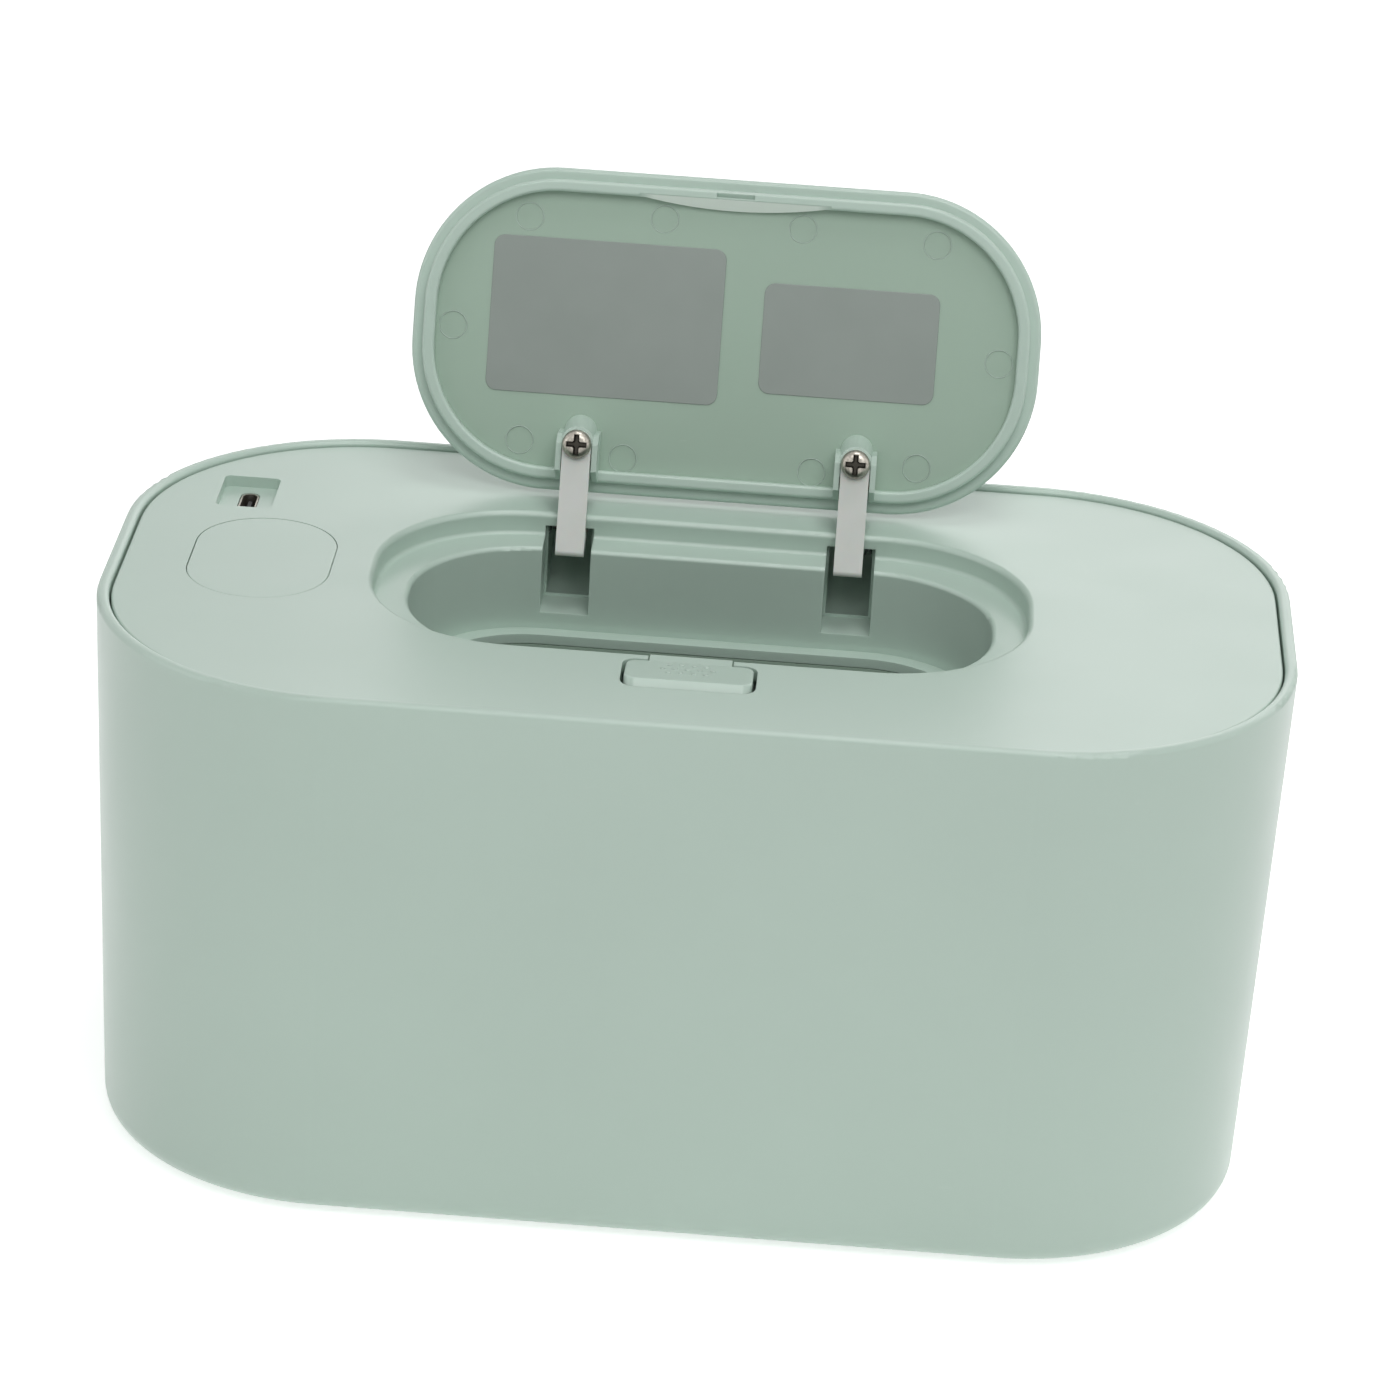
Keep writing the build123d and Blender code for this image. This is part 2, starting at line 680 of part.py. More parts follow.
# ---- touch panel with its spring, light shroud and lamps
touch_under = deck_under - touch_flange_thickness
light_y = touch_y + 8.0
shroud_length = 15.0
shroud_width = 7.0
shroud_wall = 0.8
lamp_pitch = 4.0
with BuildPart() as touch_panel:
    with BuildSketch(Plane.XY.offset(touch_under)):
        with Locations((touch_x, touch_y)):
            RectangleRounded(
                touch_width + 2 * touch_flange, touch_length + 2 * touch_flange, touch_corner + touch_flange
            )
    extrude(amount=touch_flange_thickness)
    with BuildSketch(Plane.XY.offset(touch_under)):
        with Locations((touch_x, touch_y)):
            RectangleRounded(
                touch_width - 2 * touch_gap, touch_length - 2 * touch_gap, touch_corner - touch_gap
            )
    extrude(amount=deck_top - touch_under)
    fillet(touch_panel.edges().group_by(Axis.Z)[-1], 0.25)
save(touch_panel, "touch_panel")

with BuildPart() as light_shroud:
    with BuildSketch(Plane.XY.offset(board_top)):
        with Locations((touch_x, light_y)):
            RectangleRounded(shroud_length, shroud_width, 1.2)
            RectangleRounded(
                shroud_length - 2 * shroud_wall, shroud_width - 2 * shroud_wall, 0.5, mode=Mode.SUBTRACT
            )
    extrude(amount=touch_under - board_top)
    with BuildSketch(Plane.XY.offset(board_top)):
        with Locations((touch_x, light_y)):
            with GridLocations(lamp_pitch, 1, 2, 1):
                Rectangle(shroud_wall, shroud_width - shroud_wall)
    extrude(amount=touch_under - board_top)
save(light_shroud, "light_shroud")

with BuildPart() as indicator_leds:
    with BuildSketch(Plane.XY.offset(board_top)):
        with Locations((touch_x, light_y)):
            with GridLocations(lamp_pitch, 1, 3, 1):
                Rectangle(1.6, 2.8)
    extrude(amount=0.8)
save(indicator_leds, "indicator_leds")


def coil(radius, wire, turns, height, start):
    """A wire coil rising along Z from a start point on its axis; sweeps a circle along a helix."""
    with BuildPart(mode=Mode.PRIVATE) as spring:
        with BuildLine():
            path = Helix(pitch=height / turns, height=height, radius=radius, center=start)
        with BuildSketch(Plane(origin=path @ 0, z_dir=path % 0)):
            Circle(wire / 2)
        sweep(path=path, is_frenet=True)
    return spring.part


touch_wire = 0.5
touch_spring_radius = 2.6
with BuildPart() as touch_spring:
    add(
        coil(
            touch_spring_radius,
            touch_wire,
            5,
            touch_under - board_top - touch_wire,
            (touch_x, touch_y - 7, board_top + touch_wire / 2),
        )
    )
save(touch_spring, "touch_spring")

# ---- power socket: drawn metal shell with a moulded tongue
socket_mouth = deck_top - socket_pocket_depth
socket_floor = 2.0
with BuildPart() as usb_socket_shell:
    with BuildSketch(Plane.XY.offset(board_top)):
        with Locations((socket_x, socket_y)):
            SlotOverall(socket_length, socket_thickness, rotation=90)
            SlotOverall(
                socket_length - 2 * socket_skin,
                socket_thickness - 2 * socket_skin,
                rotation=90,
                mode=Mode.SUBTRACT,
            )
    extrude(amount=socket_mouth - socket_fit - board_top)
save(usb_socket_shell, "usb_socket_shell")

with BuildPart() as usb_socket_tongue:
    with BuildSketch(Plane.XY.offset(board_top)):
        with Locations((socket_x, socket_y)):
            SlotOverall(socket_length - 2 * socket_skin, socket_thickness - 2 * socket_skin, rotation=90)
    extrude(amount=socket_floor)
    with BuildSketch(Plane.XY.offset(board_top + socket_floor)):
        with Locations((socket_x, socket_y)):
            Rectangle(0.7, 6.7)
    extrude(amount=socket_mouth - 1.2 - board_top - socket_floor)
save(usb_socket_tongue, "usb_socket_tongue")


# ---- inner wires
def lead(points, radius, start, end):
    """A wire through the points, leaving along one direction and arriving along another."""
    with BuildPart(mode=Mode.PRIVATE) as wire:
        with BuildLine():
            path = Spline(*points, tangents=(start, end))
        with BuildSketch(Plane(origin=path @ 0, z_dir=path % 0)):
            Circle(radius)
        sweep(path=path)
    return wire.part


connector_end = board_under - connector_drop
downwards = (0, 0, -1)
forwards = (0, -1, 0)
cutout_rear = cutout_y + cutout_length / 2
cutout_front = cutout_y - cutout_length / 2
with BuildPart() as heater_leads:
    add(
        lead(
            [
                (connector_x + 1.2, heater_connector_y, connector_end),
                (connector_x + 2.0, heater_connector_y - 0.5, connector_end - 3.0),
                (cutout_x, cutout_rear + 1.0, film_top + cutout_height / 2 + 1.0),
                (cutout_x, cutout_rear, film_top + cutout_height / 2),
            ],
            lead_radius,
            downwards,
            forwards,
        )
    )
    add(
        lead(
            [
                (connector_x - 1.2, heater_connector_y, connector_end),
                (lead_hole_x, lead_hole_y, base_top + 1.5),
                (lead_hole_x, lead_hole_y, film_top),
            ],
            lead_radius,
            downwards,
            downwards,
        )
    )
    add(
        lead(
            [
                (cutout_x, cutout_front, film_top + cutout_height / 2),
                (cutout_x, cutout_front - 1.4, film_top + cutout_height / 2 - 0.3),
                (cutout_x, cutout_front - 3.0, film_top),
            ],
            lead_radius,
            forwards,
            downwards,
        )
    )
save(heater_leads, "heater_leads")

with BuildPart() as sensor_leads:
    for side in (-1, 1):
        add(
            lead(
                [
                    (connector_x + side * 1.0, sensor_connector_y, connector_end),
                    (connector_x + 1.5 + side * 0.8, sensor_connector_y, connector_end - 3.5),
                    (cutout_x + side * 0.55, bead_y + bead_length / 2 + 1.2, film_top + bead_radius + 0.4),
                    (cutout_x + side * 0.55, bead_y + bead_length / 2, film_top + bead_radius),
                ],
                sensor_lead_radius,
                downwards,
                forwards,
            )
        )
save(sensor_leads, "sensor_leads")

# ---- lid: flange, rim, crescent latch boss with its catch, strip bosses and flanking ribs
rim_outer_reach = lid_far_edge - lid_rim_inset
rim_inner_reach = rim_outer_reach - lid_rim_width
rib_gap = 0.2
rib_thickness = 1.0
rib_top = arm_drop + 0.2
rib_near = lid_near_edge + lid_rim_inset
rib_far = arm_screw_reach + 1.6
boss_near = arm_screw_reach - 4.3
boss_far = arm_screw_reach + 3.1
boss_ramp = 2.0
boss_side_radius = 0.4
ejector_marks = [(37.4, 49.8), (12.7, 51.0), (50.2, 29.0), (36.6, 8.8), (17.4, 6.7)]

with BuildPart() as lid_panel:
    with BuildSketch(lid_plane(lid_outer, lid_centre)):
        RectangleRounded(lid_length, lid_width, lid_radius)
    extrude(amount=lid_thickness)
    fillet(lid_panel.edges().filter_by(Axis((0, 0, 0), lid_inward), reverse=True), lid_round)
    with BuildSketch(lid_plane(lid_inner, lid_centre)):
        RectangleRounded(
            lid_length - 2 * lid_rim_inset, lid_width - 2 * lid_rim_inset, lid_radius - lid_rim_inset
        )
        RectangleRounded(
            lid_length - 2 * lid_rim_inset - 2 * lid_rim_width,
            lid_width - 2 * lid_rim_inset - 2 * lid_rim_width,
            lid_radius - lid_rim_inset - lid_rim_width,
            mode=Mode.SUBTRACT,
        )
        with BuildLine():
            crescent = ThreePointArc(
                (-crescent_chord / 2, rim_inner_reach + 0.2 - lid_centre),
                (0, rim_inner_reach + 0.2 - crescent_rise - lid_centre),
                (crescent_chord / 2, rim_inner_reach + 0.2 - lid_centre),
            )
            Polyline(
                crescent @ 1,
                (crescent_chord / 2, rim_outer_reach - 0.8 - lid_centre),
                (-crescent_chord / 2, rim_outer_reach - 0.8 - lid_centre),
                crescent @ 0,
            )
        make_face()
    extrude(amount=lid_rim_height)
    fillet(lid_panel.faces().sort_by(Axis((0, 0, 0), lid_inward))[-1].edges(), lid_rim_round)
    with BuildSketch(arm_plane(-crescent_chord / 2)):
        Polygon(
            (rim_inner_reach - crescent_rise, lid_inner + crescent_lip),
            (rim_inner_reach + crescent_top, lid_rim_face),
            (rim_inner_reach - crescent_rise, lid_rim_face),
            align=None,
        )
    extrude(amount=crescent_chord, mode=Mode.SUBTRACT)
    with BuildSketch(lid_plane(lid_rim_face)):
        with Locations((0, rim_outer_reach - catch_skin)):
            Rectangle(catch_width, catch_slot, align=(Align.CENTER, Align.MAX))
    extrude(amount=-(lid_rim_height - catch_roof), mode=Mode.SUBTRACT)
    with BuildSketch(lid_plane(lid_inner + catch_roof)):
        with Locations((0, rim_outer_reach + 1)):
            Rectangle(catch_width, catch_skin + 1.5, align=(Align.CENTER, Align.MAX))
    extrude(amount=lid_rim_height - catch_roof - catch_bar, mode=Mode.SUBTRACT)
    for side in (-1, 1):
        for level, far in ((lid_inner - 0.5, boss_far + boss_ramp), (arm_inner, boss_far)):
            with BuildSketch(lid_plane(level)):
                with Locations((side * arm_x, (boss_near + far) / 2)):
                    SlotOverall(far - boss_near, boss_width, rotation=90)
        loft()
        for rib in (-1, 1):
            rib_x = side * arm_x + rib * (arm_width / 2 + rib_gap + rib_thickness / 2)
            with BuildSketch(arm_plane(rib_x - rib_thickness / 2)):
                Polygon(
                    (rib_near, lid_inner - 0.5),
                    (rib_far + 0.6, lid_inner - 0.5),
                    (rib_far, arm_drop - 2),
                    (rib_far - 1.6, rib_top),
                    (rib_near + 2.2, rib_top),
                    (rib_near, lid_rim_face),
                    align=None,
                )
            extrude(amount=rib_thickness)
    with BuildSketch(lid_plane(arm_inner)):
        with Locations((-arm_x, arm_screw_reach), (arm_x, arm_screw_reach)):
            Circle(arm_screw_shank + press_clearance)
    extrude(amount=-(arm_screw_length - arm_thickness), mode=Mode.SUBTRACT)
    with BuildSketch(lid_plane(lid_inner, lid_near_edge)):
        for x, reach in ejector_marks:
            with Locations((-x, reach), (x, reach)):
                Circle(ejector_mark_radius)
    extrude(amount=-ejector_mark_depth, mode=Mode.SUBTRACT)
save(lid_panel, "lid_panel")

# ---- strip arms: one bent strip each, with an eye on the pin and a screw at the lid
strip_end = arm_screw_reach + arm_width / 2
arm_left = arm_x - arm_width / 2


def is_tip(edge):
    place = lid_place(edge)
    return place.Y > strip_end - 0.01 and arm_inner + 0.1 < place.Z < arm_outer - 0.1


def is_heel(edge):
    place = lid_place(edge)
    return place.Y < -arm_heel - 1 and place.Z > arm_outer - 0.01


with BuildPart() as hinge_arm_right:
    with BuildSketch(arm_plane(arm_left)):
        with BuildLine():
            Polyline((strip_end, arm_drop), (-arm_heel, arm_drop), (0, 0))
        trace(line_width=arm_thickness)
        Circle(eye_radius)
    extrude(amount=arm_width)
    fillet(hinge_arm_right.edges().filter_by(is_tip), arm_width / 2 - 0.1)
    fillet(hinge_arm_right.edges().filter_by(is_heel), arm_bend)
    with BuildSketch(arm_plane(arm_left)):
        Circle(pin_radius + pin_clearance)
    extrude(amount=arm_width, mode=Mode.SUBTRACT)
    with BuildSketch(lid_plane(arm_outer)):
        with Locations((arm_x, arm_screw_reach)):
            Circle(arm_screw_shank + nest_gap)
    extrude(amount=-arm_thickness, mode=Mode.SUBTRACT)
save(hinge_arm_right, "hinge_arm_right")

with BuildPart() as arm_screws:
    with Locations(
        lid_plane(arm_outer, arm_screw_reach, -arm_x), lid_plane(arm_outer, arm_screw_reach, arm_x)
    ):
        add(
            cross_screw(
                arm_screw_shank, arm_screw_length - screw_tip_gap, screw_head_radius, screw_head_height
            )
        )
save(arm_screws, "arm_screws")

# ---- lid pivot: a steel pin in each pocket, with a torsion spring outboard of the arm
pin_start = hinge_x - pocket_width / 2 - inner_wall + pin_skin
with BuildPart() as hinge_pin_right:
    with BuildSketch(Plane.YZ.offset(pin_start)):
        with Locations((pivot_y, pivot_z)):
            Circle(pin_radius)
    extrude(amount=pocket_width + 2 * inner_wall - pin_skin - 0.3)
    chamfer(hinge_pin_right.edges().filter_by(GeomType.CIRCLE), 0.2)
save(hinge_pin_right, "hinge_pin_right")

coil_start = arm_x + arm_width / 2 + coil_gap + hinge_wire / 2
coil_frame = Plane(origin=(coil_start, pivot_y, pivot_z), x_dir=(0, 0.87, 0.5), z_dir=(1, 0, 0))
coil_pitch = hinge_wire + 0.02
with BuildPart() as legged_coil:
    with BuildLine():
        coil_path = Helix(coil_pitch, hinge_turns * coil_pitch, pin_radius + nest_gap + hinge_wire / 2)
    with BuildSketch(Plane(origin=coil_path @ 0, z_dir=coil_path % 0)):
        Circle(hinge_wire / 2)
    sweep(path=coil_path, is_frenet=True)
    for end, amount in ((0, -hinge_leg), (1, hinge_leg)):
        tangent = coil_path % end
        with BuildSketch(Plane(origin=coil_path @ end, z_dir=(tangent.X, tangent.Y, 0))):
            Circle(hinge_wire / 2)
        extrude(amount=amount)
with BuildPart() as torsion_spring_right:
    with Locations(coil_frame):
        add(legged_coil.part)
save(torsion_spring_right, "torsion_spring_right")

for piece, name in (
    (hinge_arm_right, "hinge_arm_left"),
    (hinge_pin_right, "hinge_pin_left"),
    (torsion_spring_right, "torsion_spring_left"),
):
    with BuildPart() as mirrored:
        add(mirror(piece.part, about=Plane.YZ, mode=Mode.PRIVATE))
    save(mirrored, name)

# ---- latch button: a hollow cap with an arched front, webs to its pin, a tongue and a nose
cap_rear_y = button_rear - button_rear_gap
cap_top = deck_top + button_proud
cap_low = deck_under - button_skirt / 2
nose_tip = rim_front_y + nose_bite


def cap_profile(skin, low):
    """The cap's side view, drawn in by a skin thickness."""
    with Locations((button_pivot_y, button_pivot_z)):
        Circle(cap_reach - skin)
    Polygon(
        (slot_front - 4, cap_top - skin),
        (cap_front_y, cap_top - skin),
        (cap_rear_y - skin, deck_top - skin),
        (cap_rear_y - skin, low),
        (slot_front - 4, low),
        align=None,
        mode=Mode.INTERSECT,
    )


with BuildPart() as release_button:
    with BuildSketch(Plane.YZ.offset(-button_length / 2)):
        cap_profile(0, cap_low)
    extrude(amount=button_length)
    cap_corners = release_button.edges().filter_by(
        lambda edge: is_button_corner(edge, button_length / 2)
    )
    fillet(cap_corners, button_corner)
    fillet(release_button.faces().sort_by(Axis.Z)[-1].edges(), 0.4)
    with BuildSketch(Plane.YZ.offset(-button_length / 2 + button_web)):
        cap_profile(button_skin, cap_low - 1)
    extrude(amount=button_length - 2 * button_web, mode=Mode.SUBTRACT)
    for side in (-1, 1):
        with BuildSketch(Plane.YZ.offset(side * (button_length - button_web) / 2 - button_web / 2)):
            Polygon(
                (cap_rear_y, cap_low + 1),
                (cap_rear_y - 5.5, cap_low + 1),
                (button_pivot_y - button_eye, button_pivot_z),
                (cap_rear_y, button_pivot_z),
                align=None,
            )
            with Locations((button_pivot_y, button_pivot_z)):
                Circle(button_eye)
        extrude(amount=button_web)
    with BuildSketch(Plane.XY.offset(deck_top)):
        with Locations((0, recess_front - tongue_gap)):
            Rectangle(tongue_width, button_land + 1, align=(Align.CENTER, Align.MAX))
    extrude(amount=-tongue_depth)
    with BuildSketch(Plane.YZ.offset(-nose_width / 2)):
        Polygon(
            (recess_front - 1, nose_level),
            (nose_tip, nose_level),
            (nose_tip, nose_level + nose_thickness / 2),
            (nose_tip - 1.9, nose_level + nose_thickness),
            (recess_front - 1, nose_level + nose_thickness),
            align=None,
        )
    extrude(amount=nose_width)
    with BuildSketch(Plane.YZ.offset(-button_length)):
        with Locations((button_pivot_y, button_pivot_z)):
            Circle(pin_radius + pin_clearance)
    extrude(amount=2 * button_length, mode=Mode.SUBTRACT)
save(release_button, "release_button")

with BuildPart() as button_pin:
    with BuildSketch(Plane.YZ.offset(-bracket_x + 0.2)):
        with Locations((button_pivot_y, button_pivot_z)):
            Circle(pin_radius)
    extrude(amount=2 * bracket_x - 0.4)
    chamfer(button_pin.edges().filter_by(GeomType.CIRCLE), 0.2)
save(button_pin, "button_pin")

spring_y = shelf_front + shelf_length / 2
spring_roof = deck_top - button_skin
with BuildPart() as button_spring:
    add(
        coil(
            button_spring_radius,
            button_spring_wire,
            button_spring_turns,
            spring_roof - shelf_level - button_spring_wire,
            (0, spring_y, shelf_level + button_spring_wire / 2),
        )
    )
save(button_spring, "button_spring")
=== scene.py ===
import math

import bmesh
import bpy
from mathutils import Matrix, Vector


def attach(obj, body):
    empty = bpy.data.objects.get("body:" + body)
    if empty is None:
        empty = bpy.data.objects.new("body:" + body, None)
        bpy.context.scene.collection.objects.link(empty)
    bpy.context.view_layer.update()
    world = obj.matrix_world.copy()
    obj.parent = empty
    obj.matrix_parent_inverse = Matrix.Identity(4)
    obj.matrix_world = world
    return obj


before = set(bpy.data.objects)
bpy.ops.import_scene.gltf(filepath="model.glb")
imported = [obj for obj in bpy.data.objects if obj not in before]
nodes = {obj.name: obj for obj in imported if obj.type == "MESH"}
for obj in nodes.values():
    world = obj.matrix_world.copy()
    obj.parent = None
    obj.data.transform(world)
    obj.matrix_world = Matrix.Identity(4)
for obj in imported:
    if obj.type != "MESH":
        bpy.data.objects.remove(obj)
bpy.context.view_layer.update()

mm = 0.001
print("frame loaded with", len(nodes), "CAD nodes")

# small helpers

noiseSpread = {"colour": (0.35, 0.65), "gloss": (0.3, 0.7)}  # the part of a noise's range that is used


def hexToLinear(code):
    channels = [int(code[i:i + 2], 16) / 255 for i in (0, 2, 4)]
    linear = [c / 12.92 if c <= 0.04045 else ((c + 0.055) / 1.055) ** 2.4 for c in channels]
    return (*linear, 1.0)


def addNode(tree, kind, settings=None):
    # a setting is a property or a socket of the node, and a socket may be given another node's output
    node = tree.nodes.new(kind)
    for name, value in (settings or {}).items():
        if not isinstance(name, int) and name not in node.inputs:
            setattr(node, name, value)
        elif isinstance(value, bpy.types.NodeSocket):
            tree.links.new(value, node.inputs[name])
        else:
            node.inputs[name].default_value = value
    return node


def perMetre(sizeMm):
    return 1.0 / (sizeMm * mm)  # texture scale whose pattern repeats about every sizeMm


def startMaterial(name, settings):
    material = bpy.data.materials.new(name)
    material.use_nodes = True
    tree = material.node_tree
    shader = tree.nodes["Principled BSDF"]
    for socket, value in settings.items():
        shader.inputs[socket].default_value = value
    place = addNode(tree, "ShaderNodeTexCoord").outputs["Object"]
    return material, tree, shader, place


def layPattern(tree, shader, pattern, relief, look):
    # a pattern carries the colour and the gloss of a plain surface, and a second one its relief
    amount = addNode(tree, "ShaderNodeMapRange", {
        "Value": pattern, "From Min": noiseSpread["colour"][0], "From Max": noiseSpread["colour"][1]})
    colour = addNode(tree, "ShaderNodeMix", {
        "data_type": "RGBA", 0: amount.outputs["Result"],
        6: hexToLinear(look["colour"]), 7: hexToLinear(look["second"])})
    gloss = addNode(tree, "ShaderNodeMapRange", {
        "Value": pattern, "From Min": noiseSpread["gloss"][0], "From Max": noiseSpread["gloss"][1],
        "To Min": look["roughness"][0], "To Max": look["roughness"][1]})
    bump = addNode(tree, "ShaderNodeBump", {
        "Strength": look["relief"][0], "Distance": look["relief"][1] * mm, "Height": relief})
    tree.links.new(colour.outputs[2], shader.inputs["Base Color"])
    tree.links.new(gloss.outputs["Result"], shader.inputs["Roughness"])
    tree.links.new(bump.outputs["Normal"], shader.inputs["Normal"])


def dress(material, *nodeNames):
    for nodeName in nodeNames:
        for materialSlot in nodes[nodeName].material_slots:
            materialSlot.material = material


# camera

viewSet = {
    "standMm": (29.51, -855.69, 465.14),
    "right": (0.996707, 0.05958, 0.054987),
    "up": (-0.074544, 0.406738, 0.910501),
    "back": (0.031883, -0.911603, 0.40984),
    "lensMm": 136.32,
    "filmMm": 36.0,
}


def makeCamera(view):
    camera = bpy.data.objects.new("viewCamera", bpy.data.cameras.new("viewCamera"))
    camera.data.lens = view["lensMm"]
    camera.data.sensor_width = view["filmMm"]
    turn = Matrix((view["right"], view["up"], view["back"])).transposed()
    camera.matrix_world = Matrix.Translation(Vector(view["standMm"]) * mm) @ turn.to_4x4()
    bpy.context.scene.collection.objects.link(camera)
    bpy.context.scene.camera = camera


makeCamera(viewSet)
print("camera placed")

# the lid's own frame as it stands open: X along the hinge, Y up the lid, Z out of its inner face

lidSet = {
    "pivotMm": (0.0, 35.8, 96.9),
    "leanDegrees": 18.6,
    "edgeReachMm": 5.55,  # from the pivot to the lid's lower edge
    "middleReachMm": 35.1,
    "innerFaceMm": -1.8,  # the panel's inner face, measured inwards from the pivot
    "panelMm": (108.8, 52.6),  # the sunk panel inside the rim
    "panelCornerMm": 22.8,
    "panelLevelMm": 0.2,  # how far off its plane a point still counts as panel
    "maskFade": {"fingerLip": (0.85, 1.0), "screwCross": (0.95, 1.1)},  # as shares of the half size
    "crossShade": 0.95,  # how dark the painted shade in the screws' crosses is
    "screwCrossMm": {
        "centre": (25.45, -20.3, 9.4), "barHalfSizes": ((0.5, 1.85, 1.2), (1.85, 0.5, 1.2))},
    "fingerLipMm": {"centre": (0.0, 24.6, -0.43), "halfSize": (17.6, 1.55, 0.9)},
}
lidTurn = math.radians(90.0 - lidSet["leanDegrees"])


def lidMatrix(reachMm, heightMm):
    turn = Matrix.Rotation(lidTurn, 4, "X")
    pivot = Matrix.Translation(Vector(lidSet["pivotMm"]) * mm)
    return pivot @ turn @ Matrix.Translation((0.0, reachMm * mm, heightMm * mm)) @ Matrix.Scale(mm, 4)


def placeInLid(tree, place):
    # millimetres from the middle of the lid: X along the hinge, Y up the lid, Z out of its inner face
    return addNode(tree, "ShaderNodeMapping", {
        "vector_type": "TEXTURE", "Location": lidMatrix(lidSet["middleReachMm"], 0.0).to_translation(),
        "Rotation": (lidTurn, 0.0, 0.0), "Scale": (mm, mm, mm), "Vector": place}).outputs["Vector"]


def panelMask(tree, inLid):
    # 1 on the sunk panel inside the lid, 0 on its rim, edge, bosses and ribs
    flat = addNode(tree, "ShaderNodeVectorMath", {"operation": "MULTIPLY", 0: inLid, 1: (1.0, 1.0, 0.0)})
    folded = addNode(tree, "ShaderNodeVectorMath", {"operation": "ABSOLUTE", 0: flat.outputs["Vector"]})
    corner = lidSet["panelCornerMm"]
    straight = [size / 2 - corner for size in lidSet["panelMm"]] + [0.0]
    beyond = addNode(tree, "ShaderNodeVectorMath", {
        "operation": "SUBTRACT", 0: folded.outputs["Vector"], 1: straight})
    beyond = addNode(tree, "ShaderNodeVectorMath", {
        "operation": "MAXIMUM", 0: beyond.outputs["Vector"], 1: (0.0, 0.0, 0.0)})
    gap = addNode(tree, "ShaderNodeVectorMath", {"operation": "LENGTH", 0: beyond.outputs["Vector"]})
    inside = addNode(tree, "ShaderNodeMath", {"operation": "LESS_THAN", 0: gap.outputs["Value"], 1: corner})
    height = addNode(tree, "ShaderNodeSeparateXYZ", {"Vector": inLid})
    level = addNode(tree, "ShaderNodeMath", {
        "operation": "COMPARE", 0: height.outputs["Z"], 1: lidSet["innerFaceMm"],
        2: lidSet["panelLevelMm"]})
    return addNode(tree, "ShaderNodeMath", {
        "operation": "MULTIPLY", 0: inside.outputs[0], 1: level.outputs[0]}).outputs[0]


def paintedLipHighlightMask(tree, inLid):
    # 1 on the slope under the lid's front rim, where a finger lifts it, fading out at its ends; it marks
    # where a highlight is painted
    across = addNode(tree, "ShaderNodeVectorMath", {
        "operation": "SUBTRACT", 0: inLid, 1: lidSet["fingerLipMm"]["centre"]})
    folded = addNode(tree, "ShaderNodeVectorMath", {"operation": "ABSOLUTE", 0: across.outputs["Vector"]})
    share = addNode(tree, "ShaderNodeVectorMath", {
        "operation": "DIVIDE", 0: folded.outputs["Vector"], 1: lidSet["fingerLipMm"]["halfSize"]})
    parts = addNode(tree, "ShaderNodeSeparateXYZ", {"Vector": share.outputs["Vector"]})
    most = addNode(tree, "ShaderNodeMath", {
        "operation": "MAXIMUM", 0: parts.outputs["X"], 1: parts.outputs["Y"]})
    most = addNode(tree, "ShaderNodeMath", {
        "operation": "MAXIMUM", 0: most.outputs[0], 1: parts.outputs["Z"]})
    fadeStart, fadeEnd = lidSet["maskFade"]["fingerLip"]
    return addNode(tree, "ShaderNodeMapRange", {
        "Value": most.outputs[0], "From Min": fadeStart, "From Max": fadeEnd,
        "To Min": 1.0, "To Max": 0.0}).outputs["Result"]


# mint ABS, injection moulded: a satin gloss that is nearly flawless, with a slow drift from cooling;
# it scatters light a little under its skin, so thin edges read paler

absSet = {
    "polished": {"colour": "BACDC2", "roughness": 0.31},
    "sparkedAndShaded": {"colour": "A2B8A8", "roughness": 0.45},  # the hidden side of a moulding is left matt; its darker tint is painted shade
    "paintedLipHighlight": "E8F2EA",  # painted highlight: a pale tint on the finger lip that stands in for the light it catches
    "scatter": 0.25,
    "scatterMm": 2.0,
    "driftMm": 60.0,
    "drift": (0.965, 1.0),
    "wave": {"sizeMm": 16.0, "strength": 0.06, "reliefMm": 0.4},
    "grain": {"sizeMm": 0.5, "strength": 0.03, "reliefMm": 0.1},
    "smearMm": (26.0, 12.0, 20.0),
    "smear": (-0.02, 0.04),  # added to the roughness
    "scuffMm": (9.0, 1.6, 1.2),
    "scuffFrom": (0.7, 0.8),  # only the peaks of the noise are scuffs
    "scuffs": 0.12,  # how far a scuff goes to its own colour
    "scuffColour": "D9E4DD",
    "fleckColour": "4B5650",
    "fleckAtMm": (-67.33, -59.98, 51.2),
    "fleckMm": 0.33,
    "fleck": 0.8,  # how far the fleck goes to its own colour
}


